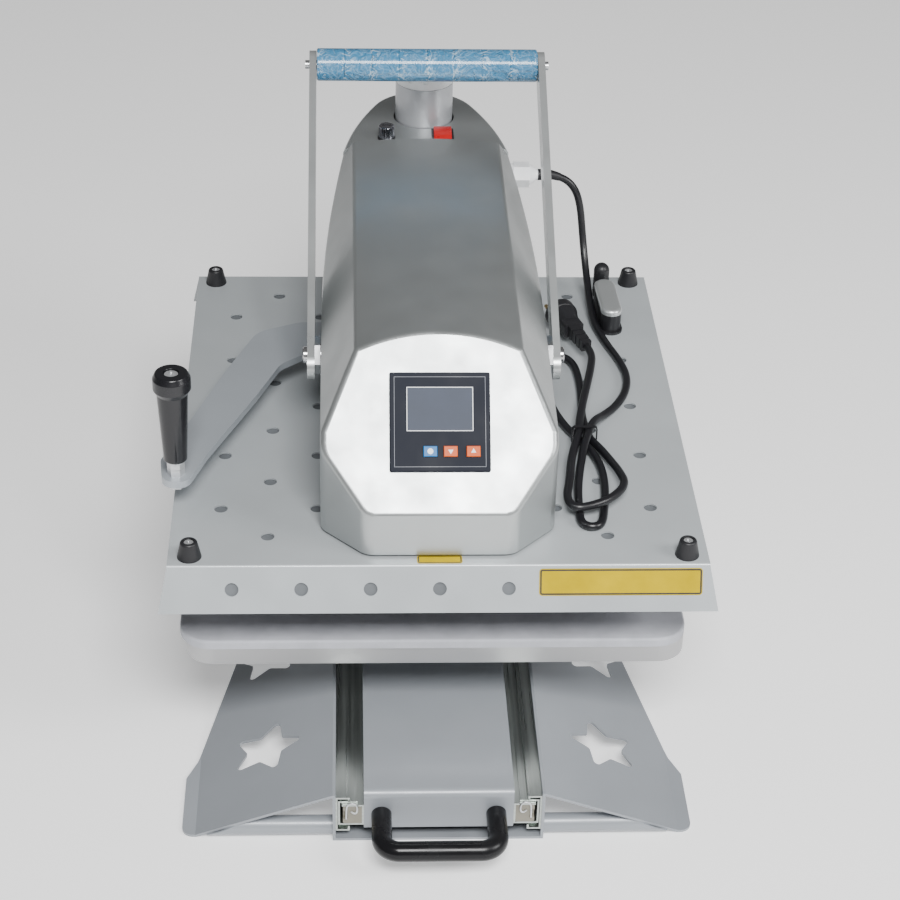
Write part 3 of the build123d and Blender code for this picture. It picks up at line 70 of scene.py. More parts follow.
def camera_axes(azimuth, elevation, roll):
    """Right, up and back directions of a camera that looks at the press."""
    a, e, r = math.radians(azimuth), math.radians(elevation), math.radians(roll)
    back = Vector((math.sin(a) * math.cos(e), -math.cos(a) * math.cos(e), math.sin(e)))
    right = (-back).cross(Vector((0, 0, 1))).normalized()
    up = right.cross(-back)
    return right * math.cos(r) + up * math.sin(r), up * math.cos(r) - right * math.sin(r), back


def place_camera(target, azimuth, elevation, roll, distance):
    """A camera at a distance from its target, with the photograph's lens."""
    right, up, back = camera_axes(azimuth, elevation, roll)
    data = bpy.data.cameras.new("photo_camera")
    data.sensor_width = 36
    data.lens = FOCAL_PX * 36 / VIEW_WIDTH_PX
    data.clip_start, data.clip_end = 0.05, 100
    camera = bpy.data.objects.new("photo_camera", data)
    bpy.context.scene.collection.objects.link(camera)
    turn = Matrix((right, up, back)).transposed().to_4x4()
    camera.matrix_world = Matrix.Translation(Vector(target) + back * distance) @ turn
    bpy.context.scene.camera = camera
    return camera


camera = place_camera((0.0185, -0.0897, 0.272), -3.206, 33.387, 1.66, 2.4070)
print("camera at", [round(x, 3) for x in camera.location], "lens", round(camera.data.lens, 1))

# %% [markdown]
# ## The mains cord
# The cord leaves the gland on the hood, drops to the cover, lies in a hank of four runs held by a
# twist tie, and ends in its plug, all in view: 1.75 m of 9 mm cord. It could be a chain of arcs,
# but a real cord has no places where its bend changes at once, so one NURBS curve of order 3 takes
# the same points as the CAD route. The curve is made a mesh because its first stretch bends
# between the arm and the upper platen when the press closes.

# %% Cord route
CORD_R = 0.0045
CORD_POINTS_MM = [
    (137.76, 300, 412), (153.76, 300, 412), (172, 299, 406), (184, 297, 392), (190, 294, 370),
    (193, 288, 343), (196, 275, 315), (198, 250, 296), (198.5, 224, 287), (199, 206, 283.5),
    (199.444, 190, 280.389), (202.2, 165, 277.8), (211, 128, 276.8), (222, 92, 276.8),
    (228, 56, 276.8), (222, 20, 276.8), (207, -10, 276.8), (192, -30, 278.5), (179, -52, 286.6),
    (170.5, -77, 288.5), (165.5, -95, 288.5), (161, -113, 286), (155.5, -140, 280.5),
    (151, -170, 277.2), (149, -203, 276.8), (148, -239.5, 276.8), (169.5, -242.5, 276.8),
    (176, -205, 276.8), (179.5, -175, 276.8), (180.5, -148, 276.8), (178, -122, 277.2),
    (170, -97, 278.3), (159.5, -77, 278.3), (149, -56, 277.8), (140, -28, 276.8), (134, 2, 276.8),
    (131, 37, 276.8), (132, 71, 276.8), (140, 96, 276.8), (157, 101, 276.8), (168.5, 84, 276.8),
    (171.5, 50, 276.8), (170.8, 15, 276.8), (168, -20, 277.2), (168.5, -50, 278.3),
    (171.5, -77, 278.3), (182, -97, 278.3), (190.5, -123, 279.8), (197, -150, 284),
    (201, -180, 287.4), (182, -207, 287.8), (160, -219.5, 287.8), (142, -224, 287.8),
    (135, -205, 287.8), (141.8, -170, 287.8), (146, -135, 287.8), (151.5, -110, 288),
    (156, -93, 288.5), (160, -75, 288.5), (163.2, -50, 289), (170, -15, 289.6), (178, 20, 290.4),
    (185, 54, 290.9), (189.2, 82.8, 291), (184, 99.2, 291),
]


def spline_curve(name, points_mm, width=0.0, sizes=None):
    """A NURBS curve of order 3 on points in millimetres, as thick as width says."""
    data = bpy.data.curves.new(name, "CURVE")
    data.dimensions = "3D"
    data.resolution_u = 8
    data.bevel_depth = width
    data.bevel_resolution = 5
    data.use_fill_caps = width > 0
    line = data.splines.new("NURBS")
    line.points.add(len(points_mm) - 1)
    for number, place in enumerate(points_mm):
        line.points[number].co = (*(c / 1000 for c in place), 1)
        line.points[number].radius = sizes[number] if sizes else 1
    line.order_u = 3
    line.use_endpoint_u = True
    return bpy.data.objects.new(name, data)


def curve_mesh(curve, name):
    """The curve as a plain mesh object at the origin."""
    bpy.context.scene.collection.objects.link(curve)
    graph = bpy.context.evaluated_depsgraph_get()
    mesh = bpy.data.meshes.new_from_object(curve.evaluated_get(graph))
    bpy.data.objects.remove(curve)
    mesh.name = name
    piece = bpy.data.objects.new(name, mesh)
    bpy.context.scene.collection.objects.link(piece)
    return piece


cord = curve_mesh(spline_curve("mains_cord_curve", CORD_POINTS_MM, CORD_R), "mains_cord")
line = curve_mesh(spline_curve("cord_line", CORD_POINTS_MM), "cord_line")
bpy.data.objects.remove(line)

# %% [markdown]
# ## Making finishes
# Every finish here is a small node tree on the Principled shader. They share the same steps: a
# noise in Object coordinates, a ramp that turns it into a range of colour or roughness, and a
# bump. A helper for each step keeps the trees short, and the values stay readable where a finish
# is described.

# %% Helpers for node trees


def new_material(name, color, roughness, metallic=0.0):
    """A Principled material and handles to its tree and shader."""
    material = bpy.data.materials.new(name)
    material.use_nodes = True
    tree = material.node_tree
    shader = tree.nodes["Principled BSDF"]
    shader.inputs["Base Color"].default_value = (*color, 1)
    shader.inputs["Roughness"].default_value = roughness
    shader.inputs["Metallic"].default_value = metallic
    material.diffuse_color = (*color, 1)
    return material, tree, shader


def noise(tree, scale, detail, stretch=(1, 1, 1)):
    """A noise on Object coordinates. A stretch below 1 draws it out along that axis."""
    place = tree.nodes.new("ShaderNodeTexCoord")
    mapping = tree.nodes.new("ShaderNodeMapping")
    mapping.inputs["Scale"].default_value = stretch
    texture = tree.nodes.new("ShaderNodeTexNoise")
    texture.inputs["Scale"].default_value = scale
    texture.inputs["Detail"].default_value = detail
    tree.links.new(place.outputs["Object"], mapping.inputs["Vector"])
    tree.links.new(mapping.outputs["Vector"], texture.inputs["Vector"])
    return texture.outputs["Fac"]


def ramp(tree, value, low, high, at=(0.3, 0.7)):
    """Colours between two stops. A single number makes a grey."""
    node = tree.nodes.new("ShaderNodeValToRGB")
    for stop, color, place in zip(node.color_ramp.elements, (low, high), at):
        stop.color = (*color, 1) if hasattr(color, "__len__") else (color, color, color, 1)
        stop.position = place
    tree.links.new(value, node.inputs["Fac"])
    return node.outputs["Color"]


def bump(tree, shader, height, strength, distance):
    """Surface relief from a pattern. A second call lies over the first."""
    node = tree.nodes.new("ShaderNodeBump")
    node.inputs["Strength"].default_value = strength
    node.inputs["Distance"].default_value = distance
    tree.links.new(height, node.inputs["Height"])
    before = shader.inputs["Normal"].links
    if before:
        tree.links.new(before[0].from_socket, node.inputs["Normal"])
    tree.links.new(node.outputs["Normal"], shader.inputs["Normal"])


def shade(color, factor):
    """A colour made darker or lighter by a factor."""
    return tuple(min(1, c * factor) for c in color)


def dress(material, *node_names):
    """Give CAD nodes their finish."""
    for node_name in node_names:
        mesh = nodes[node_name].data
        mesh.materials.clear()
        mesh.materials.append(material)


# %% [markdown]
# ## Painted steel
# The base, the cover and the hood are sheet steel under a sprayed or powdered grey. Up close such
# paint has a fine orange peel and its gloss varies a little, so each paint mixes a slow noise into
# colour and roughness and lays a fine noise under it as bump. The hood's paint holds aluminium
# flakes: it is partly metallic, which is why the sloped face turns almost white in the light.

# %% Paints


def paint(name, color, roughness, metallic=0.0, peel=0.12, coat=0.0):
    """A paint with orange peel, under a clear coat if it has one."""
    material, tree, shader = new_material(name, color, roughness, metallic)
    tone = ramp(tree, noise(tree, 9, 3), shade(color, 0.96), shade(color, 1.04))
    tree.links.new(tone, shader.inputs["Base Color"])
    gloss = ramp(tree, noise(tree, 26, 4), roughness - 0.05, roughness + 0.06)
    tree.links.new(gloss, shader.inputs["Roughness"])
    bump(tree, shader, noise(tree, 420, 2), peel, 0.0004)
    shader.inputs["Coat Weight"].default_value = coat
    shader.inputs["Coat Roughness"].default_value = 0.12
    return material


base_paint = paint("base_powder_paint", (0.285, 0.305, 0.33), 0.40, 0.15, coat=0.2)
cover_paint = paint("cover_paint", (0.47, 0.50, 0.515), 0.38, 0.25, coat=0.25)
hood_paint = paint("hood_metallic_paint", (0.43, 0.45, 0.45), 0.37, 0.82, peel=0.06, coat=0.3)
arm_paint = paint("arm_silver_paint", (0.48, 0.49, 0.51), 0.40, 0.5, coat=0.2)
lever_paint = paint("lever_grey_paint", (0.38, 0.41, 0.44), 0.38, 0.3, coat=0.3)
handle_paint = paint("handle_silver_paint", (0.52, 0.54, 0.54), 0.32, 0.7, coat=0.3)
dress(base_paint, "base_sheet", "base_tubes", "column_foot", "drawer_tray", "platen_stand")
dress(cover_paint, "cover_plate")
dress(hood_paint, "hood")
dress(arm_paint, "swing_arm", "arm_cheeks", "hood_brackets")
dress(lever_paint, "swing_lever")
dress(handle_paint, "handle_arms", "terminal_lid")
paints = (base_paint, cover_paint, hood_paint, arm_paint, lever_paint, handle_paint)
print("paints", [m.name for m in paints])

# %% [markdown]
# ## Bare and plated metal
# Slides, screws and shafts are zinc plated or ground, and the platens are aluminium. Plating has a
# faint grain along the part and small changes of gloss. The grain could be drawn as lines, but a
# noise stretched along the part never repeats, and a metallic shader does the rest. Small bright
# fixings have no grain to show, so they take a metallic paint.

# %% Metals


def metal(name, color, roughness, grain=(1, 1, 1), grain_scale=60, depth=0.1, spread=0.08):
    """A bare metal whose grain darkens it by the spread."""
    material, tree, shader = new_material(name, color, roughness, 1.0)
    lines = noise(tree, grain_scale, 5, grain)
    tree.links.new(ramp(tree, lines, shade(color, 1 - spread), color), shader.inputs["Base Color"])
    tree.links.new(ramp(tree, lines, roughness - 0.07, roughness + 0.09), shader.inputs["Roughness"])
    bump(tree, shader, lines, depth, 0.0003)
    return material


zinc = metal("zinc_plate", (0.62, 0.63, 0.64), 0.30)
ground_steel = metal("ground_steel", (0.58, 0.58, 0.59), 0.22, (1, 1, 14))
ALONG_SLIDE = (1, 0.012, 1)
slide_steel = metal("slide_steel", (0.56, 0.60, 0.57), 0.33, ALONG_SLIDE, 240, depth=0.04, spread=0.3)
platen_aluminium = metal("platen_aluminium", (0.47, 0.47, 0.475), 0.44, (0.3, 0.3, 1), 40)
bronze = metal("bush_bronze", (0.50, 0.36, 0.18), 0.38)
bright_zinc = paint("bright_zinc", (0.66, 0.67, 0.68), 0.30, 0.75)
dress(zinc, "column_screws", "drawer_screws", "lever_screws", "shaft_nuts", "grip_rod")
dress(zinc, "platen_studs", "press_bridge")
dress(bright_zinc, "platen_fixings", "grip_bolt")
dress(ground_steel, "column", "guide_rods", "roller_pin", "cam_roller", "press_cam", "handle_shaft")
dress(slide_steel, "slide_outers", "slide_middle_left", "slide_middle_right", "slide_inners")
dress(platen_aluminium, "heater_plate", "lower_platen")
dress(bronze, "arm_bushes")
metals = (zinc, ground_steel, slide_steel, platen_aluminium, bronze, bright_zinc)
print("metals", [m.name for m in metals])

# %% [markdown]
# ## Rubber, plastic and the pad
# Bumpers, pull, plug and cord are black moulded rubber or plastic with a dull skin. The lower
# platen carries a pad of grey foamed silicone: matt, with tiny open pores, so its bump comes from a
# very fine noise. The insulation under the cover is pale mineral fibre, rougher still. One helper
# makes them all, because they differ only in colour, in gloss and in the grain of their skin.

# %% Rubbers and plastics


def plastic(name, color, roughness, skin=0.08, skin_scale=260, coat=0.0, shine=0.5):
    """A plastic, rubber, foam or ink. The skin is how deep its grain is."""
    material, tree, shader = new_material(name, color, roughness)
    cloud = noise(tree, 30, 3)
    tone = ramp(tree, cloud, shade(color, 0.88), shade(color, 1.1))
    tree.links.new(tone, shader.inputs["Base Color"])
    tree.links.new(ramp(tree, cloud, roughness - 0.06, roughness + 0.07), shader.inputs["Roughness"])
    bump(tree, shader, noise(tree, skin_scale, 3), skin, 0.0004)
    shader.inputs["Specular IOR Level"].default_value = shine
    shader.inputs["Coat Weight"].default_value = coat
    return material


black_rubber = plastic("black_rubber", (0.014, 0.014, 0.016), 0.42, 0.08, shine=0.4)
black_plastic = plastic("black_plastic", (0.012, 0.012, 0.014), 0.38, 0.1, 500, shine=0.4)
pull_plastic = plastic("pull_plastic", (0.008, 0.008, 0.009), 0.24, 0.01, 300, shine=0.25)
pale_plastic = plastic("pale_plastic", (0.90, 0.91, 0.93), 0.36)
taupe_plastic = plastic("taupe_plastic", (0.24, 0.225, 0.18), 0.45)
silicone = plastic("silicone_foam", (0.44, 0.45, 0.49), 0.78, 0.35, 900)
fibre = plastic("mineral_fibre", (0.62, 0.58, 0.47), 0.9, 0.8, 700)
red_plastic = plastic("rocker_red", (0.50, 0.008, 0.008), 0.30, 0.03, 300, coat=0.3)
blue_key = plastic("key_blue", (0.02, 0.16, 0.42), 0.45, 0.04, shine=0.25)
orange_key = plastic("key_orange", (0.62, 0.10, 0.015), 0.45, 0.04, shine=0.25)
slate_bezel = plastic("slate_bezel", (0.014, 0.016, 0.024), 0.55, 0.1, 500, shine=0.12)
slate_glass = plastic("slate_glass", (0.070, 0.080, 0.105), 0.55, 0.02, 200, shine=0.12)
grip_gloss = plastic("lever_grip_gloss", (0.008, 0.008, 0.010), 0.22, 0.01, 300)
foil = plastic("liner_foil", (0.13, 0.14, 0.15), 0.60, 0.3, 120, shine=0.3)
sheath = plastic("cord_sheath", (0.008, 0.008, 0.010), 0.34, 0.03, 200)
cord.data.materials.append(sheath)
dress(pull_plastic, "drawer_pull")
dress(black_rubber, "bumpers", "terminal_boot", "plug")
dress(black_plastic, "terminal_base", "fuse_holder", "switch_frame", "cord_tie")
dress(slate_bezel, "controller_case")
dress(slate_glass, "controller_window")
dress(grip_gloss, "lever_grip")
dress(pale_plastic, "cable_gland", "pressure_knob")
dress(taupe_plastic, "slide_stops")
dress(silicone, "silicone_pad")
dress(fibre, "insulation")
dress(red_plastic, "switch_rocker")
dress(blue_key, "button_set")
dress(orange_key, "button_down", "button_up")
print("materials so far, the CAD's own among them", len(bpy.data.materials))

# %% [markdown]
# ## The chrome fuse cap
# The fuse cap beside the switch is plastic with a thin bright plating, dark where it mirrors the
# room. Plating over plastic stays smooth, so this is a plain dark metal with very little roughness.

# %% Fuse cap plating
dark_chrome = metal("dark_chrome", (0.34, 0.34, 0.37), 0.16, depth=0.02)
dress(dark_chrome, "fuse_cap")
print("cap", dark_chrome.name)

# %% [markdown]
# ## The wrapped grip
# The hand grip is blue foam that still wears its clear packing film, drawn tight in eight bands and
# crumpled where two bands meet. The film could be a second, see-through shell, but it clings so
# closely that a clear coat on the grip shows the same thing. A mask that rises near each joint
# steers where the creases whiten: that white is painted glints, light caught by the crumpled film.

# %% Grip under film
GRIP_HALF = 0.1275
BANDS = 8


def maths(tree, kind, first, second=0.0):
    """One step of arithmetic on sockets or numbers. A kind with one input ignores the second."""
    node = tree.nodes.new("ShaderNodeMath")
    node.operation = kind
    for socket, value in zip(node.inputs, (first, second)):
        if hasattr(value, "links"):
            tree.links.new(value, socket)
        else:
            socket.default_value = value
    return node.outputs[0]


def film_material():
    """Blue foam under clear film, creased at each joint of two bands, with painted glints there."""
    material, tree, shader = new_material("grip_under_film", (0.16, 0.38, 0.58), 0.5)
    place = tree.nodes.new("ShaderNodeTexCoord")
    split = tree.nodes.new("ShaderNodeSeparateXYZ")
    tree.links.new(place.outputs["Object"], split.inputs[0])
    from_end = maths(tree, "ADD", split.outputs["X"], GRIP_HALF)
    along = maths(tree, "MULTIPLY", from_end, BANDS / (2 * GRIP_HALF))
    along = maths(tree, "ADD", along, maths(tree, "MULTIPLY", noise(tree, 45, 2), 0.20))
    joint = maths(tree, "ABSOLUTE", maths(tree, "SUBTRACT", maths(tree, "FRACT", along), 0.12))
    seam = ramp(tree, joint, 1.0, 0.0, (0.01, 0.05))
    near_joint = ramp(tree, joint, 1.0, 0.25, (0.02, 0.30))
    crumple = noise(tree, 82, 4)
    crumple.node.inputs["Distortion"].default_value = 1.6
    ridges = maths(tree, "ABSOLUTE", maths(tree, "SUBTRACT", crumple, 0.5))
    # Painted glints: near each joint the crease ridges mix the blue toward a pale blue-white.
    painted_glints = maths(tree, "MULTIPLY", ramp(tree, ridges, 1.0, 0.0, (0.0, 0.045)), near_joint)
    blue = ramp(tree, noise(tree, 900, 2), (0.030, 0.17, 0.33), (0.055, 0.23, 0.41))
    mixed = tree.nodes.new("ShaderNodeMix")
    mixed.data_type = "RGBA"
    tree.links.new(maths(tree, "MULTIPLY", painted_glints, 0.8), mixed.inputs["Factor"])
    tree.links.new(blue, mixed.inputs["A"])
    mixed.inputs["B"].default_value = (0.60, 0.74, 0.84, 1)
    tree.links.new(mixed.outputs["Result"], shader.inputs["Base Color"])
    bump(tree, shader, crumple, 0.8, 0.006)
    bump(tree, shader, seam, 0.8, 0.0012)
    shader.inputs["Coat Weight"].default_value = 0.8
    shader.inputs["Coat Roughness"].default_value = 0.10
    return material


dress(film_material(), "hand_grip")
print("grip with", BANDS, "bands over", 2 * GRIP_HALF, "m")

# %% [markdown]
# ## Small pieces
# What follows is made for the scene alone: the brass of the plug's pins, the sleeve that keeps the
# cord from kinking, the twist tie's tail, the latch springs, the two bare yellow plates, the foil
# under the cover, and the lines and marks on the controller. Turned and flat pieces start from bmesh
# operators, which these helpers hold, and wires and sleeves are thin curves like the cord.

# %% Helpers for small pieces


def settle(shape, name, finishes, body, smooth=True):
    """Turn a bmesh into a piece with its finishes that rides on a body."""
    bmesh.ops.remove_doubles(shape, verts=shape.verts, dist=1e-7)
    bmesh.ops.recalc_face_normals(shape, faces=shape.faces)
    mesh = bpy.data.meshes.new(name)
    shape.to_mesh(mesh)
    shape.free()
    for face in mesh.polygons:
        face.use_smooth = smooth
    for finish in finishes:
        mesh.materials.append(finish)
    piece = bpy.data.objects.new(name, mesh)
    bpy.context.scene.collection.objects.link(piece)
    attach(piece, body)
    return piece


def turned(profile, place, steps):
    """A body of revolution. The profile is (radius, height) pairs in metres."""
    shape = bmesh.new()
    chain = [shape.verts.new((r, 0, z)) for r, z in profile]
    edges = [shape.edges.new(pair) for pair in zip(chain, chain[1:])]
    bmesh.ops.spin(shape, geom=chain + edges, cent=(0, 0, 0), axis=(0, 0, 1), angle=2 * math.pi,
                   steps=steps, use_merge=True, use_duplicate=False)
    bmesh.ops.transform(shape, matrix=place, verts=shape.verts)
    return shape


def slab(width, height, thick, place, corner=0.0):
    """A thin plate in its own XY plane, with rounded corners, then put in place."""
    shape = bmesh.new()
    bmesh.ops.create_cube(shape, size=1)
    bmesh.ops.scale(shape, vec=(width, height, thick), verts=shape.verts)
    if corner:
        upright = [e for e in shape.edges if abs(e.verts[0].co.z - e.verts[1].co.z) > thick / 2]
        bmesh.ops.bevel(shape, geom=upright, offset=corner, affect="EDGES", segments=4,
                        profile=0.5, material=-1)
    bmesh.ops.transform(shape, matrix=place, verts=shape.verts)
    return shape


def basis(origin, x_axis, z_axis):
    """The matrix of a frame at origin with the given X and Z directions."""
    z = Vector(z_axis).normalized()
    x = Vector(x_axis).normalized()
    turn = Matrix((x, z.cross(x), z)).transposed().to_4x4()
    return Matrix.Translation(Vector(origin)) @ turn


# %% [markdown]
# ## Plug pins
# The two pins are solid brass. In the CAD they belong to the plug's one solid. Its faces at the pins
# could be given a second finish, but a CAD mesh is left alone, so a skin of brass goes over each pin.
# It is a profile spun full circle, with a round nose as real pins have.

# %% Pins
PLUG_START = Vector((0.184, 0.0992, 0.291))
PLUG_ALONG = Vector((-0.3021, 0.9533, 0)).normalized()
PIN_FROM, PIN_LONG, PIN_PITCH, PIN_R = 0.084, 0.0191, 0.019, 0.0025
brass = metal("pin_brass", (0.66, 0.50, 0.26), 0.24, depth=0.03)
plug_side = PLUG_ALONG.cross(Vector((0, 0, 1)))
pin_profile = [(0, 0), (PIN_R, 0), (PIN_R, PIN_LONG - 0.0012), (PIN_R * 0.85, PIN_LONG - 0.0004),
               (PIN_R * 0.5, PIN_LONG), (0, PIN_LONG)]
for side, side_name in ((-1, "left"), (1, "right")):
    start = PLUG_START + PLUG_ALONG * PIN_FROM + plug_side * (side * PIN_PITCH / 2)
    shape = turned(pin_profile, basis(start, plug_side, PLUG_ALONG), 20)
    settle(shape, f"pin_skin_{side_name}", [brass], "upper_platen")

# %% [markdown]
# ## Strain relief and twist tie
# A tapered rubber sleeve leads the cord out of the gland. It follows the cord's first points, a
# little thicker at the gland, so it is a curve whose points have their own thickness. The tie is a
# plastic strip with a wire inside, and its ends are twisted together and bent down beside the hank.
# Twisting a mesh would crease it, so two thin curves are wound round each other instead.

# %% Strain relief and tie tail
RELIEF_POINTS_MM = [(136.4, 300, 412), (145, 300, 412), (153.76, 300, 412), (163, 299.5, 409)]
RELIEF_R, RELIEF_TAPER = 0.0049, (1.45, 1.35, 1.18, 1.02)
relief_line = spline_curve("relief_line", RELIEF_POINTS_MM, RELIEF_R, RELIEF_TAPER)
relief = curve_mesh(relief_line, "strain_relief")
relief.data.materials.append(black_rubber)
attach(relief, "arm")
STRAND_R, STRAND_POINTS, STRAND_STEP, STRAND_OFF_MM = 0.00075, 22, 1.25, 0.9
TAIL_START_MM, TAIL_RUN_MM = (153.5, -79, 291), (-3, -26, -9)


def strand(phase):
    """One strand of the twisted tail, in millimetres. The tail sinks faster towards its end."""
    points = []
    for step in range(STRAND_POINTS):
        t = step / (STRAND_POINTS - 1)
        angle = phase + step * STRAND_STEP
        across, drop = STRAND_OFF_MM * math.cos(angle), STRAND_OFF_MM * math.sin(angle)
        x, y, z = (a + run * f for a, run, f in zip(TAIL_START_MM, TAIL_RUN_MM, (t, t, t * t)))
        points.append((x + across, y, z + drop))
    return points


for number in (0, 1):
    twist = spline_curve(f"tail_{number}", strand(number * math.pi), STRAND_R)
    piece = curve_mesh(twist, f"tie_tail_{number}")
    piece.data.materials.append(black_plastic)
    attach(piece, "upper_platen")

# %% [markdown]
# ## Return springs
# Four springs on the guide rods lift the platen. They are 78 mm long at rest and lose the 42 mm
# that the platen travels. A spring could be drawn again as a helix, but the CAD solid is already
# right, so a merged copy of it, with its own mesh, rides on the arm in place of the CAD's springs.

# %% Springs
shape = bmesh.new()
shape.from_mesh(nodes["return_springs"].data)
springs = settle(shape, "shortening_springs", [ground_steel], "arm")
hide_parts("return_springs")
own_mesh(springs)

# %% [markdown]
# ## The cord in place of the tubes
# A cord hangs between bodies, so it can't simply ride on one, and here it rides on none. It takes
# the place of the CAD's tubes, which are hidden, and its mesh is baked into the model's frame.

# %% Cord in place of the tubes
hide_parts("cord_lead", "cord_hank")
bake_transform(cord)

# %% [markdown]
# ## Latch springs
# A small bright wire sits over each stop at the front end of a slide and latches the drawer. Arcs
# joined end to end would do, but it is bent from one piece of wire, so it is a thin NURBS tube that
# bows up and round. The left one is the right one with its X turned about.

# %% Latches
WIRE_R = 0.0010
BOW_MM = [(95, -409.9, 30), (95, -410.2, 43), (93.5, -410.6, 50), (88.5, -411, 52),
          (84, -410.6, 49), (83.5, -409.9, 39), (87, -409.9, 36), (90, -409.9, 40)]
latches = []
for side, side_name in ((-1, "left"), (1, "right")):
    bow = [(side * x, y, z) for x, y, z in BOW_MM]
    latch = curve_mesh(spline_curve("latch_line", bow, WIRE_R), f"latch_{side_name}")
    latch.data.materials.append(bright_zinc)
    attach(latch, "drawer")
    latches.append(latch)
print("latches", [len(p.data.polygons) for p in latches])

# %% [markdown]
# ## Bare plates
# A long yellow plate with a dark border is stuck to the front flange, and a small one of the same
# kind lies in front of the hood. The border could be a strip of its own, but both plates are thin
# printed foil, so each is one slab, whose top face is inset twice to make the border and the field.
# The corner has to be rounder than the two insets together, or the field's corners turn over.

# %% Plates
PLATE_THICK, PLATE_CORNER, PLATE_EDGE = 0.0003, 0.0032, 0.0008
FLANGE_LEAN, FLANGE_BEND = math.radians(65.9), Vector((0, -0.300, 0.272))
yellow_foil = plastic("yellow_foil", (0.50, 0.36, 0.0), 0.65, 0.03, 200, shine=0.0)
dark_ink = plastic("dark_ink", (0.03, 0.03, 0.03), 0.45, 0.02, 200)


def plate(name, width, height, place, border):
    """A foil plate: yellow edge, dark border line, yellow field."""
    shape = slab(width, height, PLATE_THICK, place, PLATE_CORNER)
    up = (place.to_3x3() @ Vector((0, 0, 1))).normalized()
    shape.normal_update()
    top = [f for f in shape.faces if f.normal.dot(up) > 0.9]
    bmesh.ops.inset_region(shape, faces=top, thickness=PLATE_EDGE)
    ring = bmesh.ops.inset_region(shape, faces=top, thickness=border)["faces"]
    for face in ring:
        face.material_index = 1
    return settle(shape, name, [yellow_foil, dark_ink], "upper_platen", smooth=False)


down_flange = Vector((0, -math.cos(FLANGE_LEAN), -math.sin(FLANGE_LEAN)))
off_flange = Vector((0, -math.sin(FLANGE_LEAN), math.cos(FLANGE_LEAN)))
plate_middle = FLANGE_BEND + Vector((0.1840, 0, 0)) + down_flange * 0.0185 + off_flange * PLATE_THICK
on_flange = basis(plate_middle, (1, 0, 0), off_flange)
flange_plate = plate("flange_plate", 0.1665, 0.028, on_flange, 0.0017)
before_hood = Matrix.Translation((0, -0.2913, 0.27225))
small_plate = plate("small_plate", 0.046, 0.0135, before_hood, 0.0013)
print("plates", len(flange_plate.data.polygons), len(small_plate.data.polygons))

# %% [markdown]
# ## Foil liner
# Through the vents of the cover one sees grey discs: the foil of the insulation, pressed up against
# the sheet. A disc behind each vent would show the same, but the foil is one thin strip bent like
# the cover's own section. It starts from the strip's cross line, which is extruded over the width of
# the press and then gets its thickness.

# %% Liner
LINER_HALF, LINER_THICK = 0.240, 0.0004
LINER_SECTION = [(-0.3175, 0.2300), (-0.2978, 0.2693), (0.2978, 0.2693), (0.3175, 0.2300)]


def bent_strip():
    """The liner's section, extruded from its left end to its right end."""
    shape = bmesh.new()
    chain = [shape.verts.new((-LINER_HALF, y, z)) for y, z in LINER_SECTION]
    edges = [shape.edges.new(pair) for pair in zip(chain, chain[1:])]
    grown = bmesh.ops.extrude_edge_only(shape, edges=edges)["geom"]
    right_end = [g for g in grown if isinstance(g, bmesh.types.BMVert)]
    bmesh.ops.translate(shape, vec=(2 * LINER_HALF, 0, 0), verts=right_end)
    bmesh.ops.recalc_face_normals(shape, faces=shape.faces)
    bmesh.ops.solidify(shape, geom=shape.faces[:], thickness=LINER_THICK)
    return shape


liner = settle(bent_strip(), "foil_liner", [foil], "upper_platen", smooth=False)
print("liner", [round(x, 4) for x in liner.bound_box[0]], [round(x, 4) for x in liner.bound_box[6]])

# %% [markdown]
# ## Marks and a painted rim highlight on the controller
# A white line frames the display, and each key carries a simple mark: a disc, and a triangle each
# for down and up. They are printed on the real one. A grey line inside the bezel is painted
# highlight: it stands for light on the bezel's raised rim. A finish that draws them would need the
# face's own coordinates, so they are thin slabs, sunk so far that only a little stands proud of the
# face.

# %% Controller marks
FACE_LEAN, FACE_FOOT, FOOT_TO_MIDDLE = math.radians(47), Vector((0, -0.287, 0.324)), 0.0945
PRINT_THICK, KEY_ROW, MARK_R = 0.0002, -0.0305, 0.003
BEZEL_PROUD, KEY_PROUD = 0.0041, 0.00605
face_out = Vector((0, -math.sin(FACE_LEAN), math.cos(FACE_LEAN)))
face_up = Vector((0, math.cos(FACE_LEAN), math.sin(FACE_LEAN)))
face_middle = FACE_FOOT + face_up * FOOT_TO_MIDDLE
white_ink = plastic("white_ink", (0.80, 0.82, 0.84), 0.4, 0.02, 200)
# Painted highlight: a grey lighter than the bezel, for light on its raised rim.
rim_highlight_ink = plastic("rim_highlight_ink", (0.16, 0.17, 0.20), 0.4, 0.02, 200)


def on_face(x, up, proud):
    """A frame on the controller, proud of the hood's face by the given height."""
    place = face_middle + Vector((x, 0, 0)) + face_up * up + face_out * proud
    return basis(place, (1, 0, 0), face_out)


def frame_line(name, width, height, up, line_width, ink):
    """A line round a rectangle: a slab whose front and back are inset and bridged."""
    shape = slab(width, height, PRINT_THICK, on_face(0, up, BEZEL_PROUD))
    shape.normal_update()
    sides = [f for f in shape.faces if abs(f.normal.dot(face_out)) > 0.9]
    bmesh.ops.inset_region(shape, faces=sides[:1], thickness=line_width)
    bmesh.ops.inset_region(shape, faces=sides[1:], thickness=line_width)
    least_area = (width - 3 * line_width) * (height - 3 * line_width)
    middle = [f for f in shape.faces
              if abs(f.normal.dot(face_out)) > 0.9 and len(f.verts) == 4 and f.calc_area() > least_area]
    bmesh.ops.bridge_loops(shape, edges=[e for f in middle for e in f.edges])
    bmesh.ops.delete(shape, geom=middle, context="FACES_ONLY")
    return settle(shape, name, [ink], "arm", smooth=False)


display_frame = frame_line("display_frame", 0.0672, 0.0452, 0.013, 0.0010, white_ink)
# The grey line is a painted highlight on the bezel's raised rim, not print.
bezel_rim_highlight = frame_line("bezel_rim_highlight", 0.0925, 0.0925, 0, 0.0006, rim_highlight_ink)


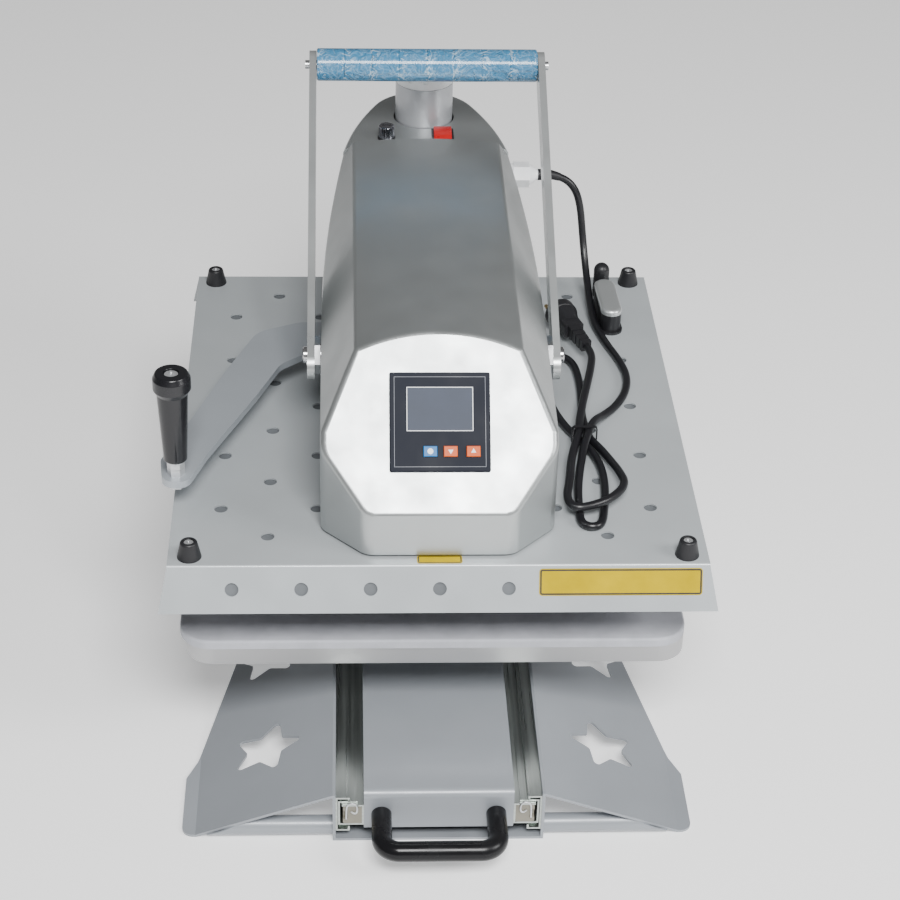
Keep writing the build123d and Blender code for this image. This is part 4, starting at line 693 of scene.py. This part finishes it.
def key_mark(name, x, corners, turn, body):
    """A small printed mark on a key: a disc or a triangle."""
    place = on_face(x, KEY_ROW, KEY_PROUD) @ Matrix.Rotation(turn, 4, "Z")
    shape = bmesh.new()
    bmesh.ops.create_cone(shape, cap_ends=True, segments=corners, radius1=MARK_R, radius2=MARK_R,
                          depth=PRINT_THICK)
    bmesh.ops.transform(shape, matrix=place, verts=shape.verts)
    return settle(shape, name, [white_ink], body, smooth=False)


marks = [key_mark("mark_set", -0.010, 24, 0, "button_set"),
         key_mark("mark_down", 0.0105, 3, math.radians(180), "button_down"),
         key_mark("mark_up", 0.0335, 3, 0, "button_up")]
print("marks", [len(m.data.polygons) for m in (display_frame, bezel_rim_highlight, *marks)])

# %% [markdown]
# ## Floor and light
# The press stands on a plain pale floor, which glows a little, so that the undersides don't go
# black. One large soft light hangs in front and above, where the sloped face of the hood mirrors it,
# and a weaker one fills the right side. Sun lamps would be simpler, but their shadows are hard, and
# area lights give the soft ones of a studio. A pale world keeps the metal from reflecting black.

# %% Floor and lights


def plain_floor():
    """A large flat floor at the height of the press's feet."""
    mesh = bpy.data.meshes.new("floor")
    shape = bmesh.new()
    bmesh.ops.create_grid(shape, x_segments=1, y_segments=1, size=40)
    shape.to_mesh(mesh)
    shape.free()
    floor = bpy.data.objects.new("floor", mesh)
    bpy.context.scene.collection.objects.link(floor)
    material, tree, shader = new_material("pale_floor", (0.92, 0.92, 0.92), 0.9)
    shader.inputs["Emission Color"].default_value = (1, 1, 1, 1)
    shader.inputs["Emission Strength"].default_value = 0.35
    mesh.materials.append(material)


def soft_light(name, place, aim, size, power):
    """A rectangular area light that looks at its aim."""
    data = bpy.data.lights.new(name, "AREA")
    data.shape = "RECTANGLE"
    data.size, data.size_y = size
    data.energy = power
    lamp = bpy.data.objects.new(name, data)
    bpy.context.scene.collection.objects.link(lamp)
    lamp.location = place
    lamp.rotation_mode = "QUATERNION"
    lamp.rotation_quaternion = (Vector(aim) - Vector(place)).to_track_quat("-Z", "Y")


plain_floor()
soft_light("front_light", (0.25, -2.4, 3.0), (0, -0.2, 0.35), (1.5, 1.1), 185)
soft_light("right_light", (2.8, -1.4, 2.2), (0, 0, 0.3), (1.4, 1.4), 75)
world = bpy.context.scene.world or bpy.data.worlds.new("studio")
bpy.context.scene.world = world
world.use_nodes = True
room = world.node_tree.nodes["Background"]
room.inputs["Color"].default_value = (1, 1, 1, 1)
room.inputs["Strength"].default_value = 0.17
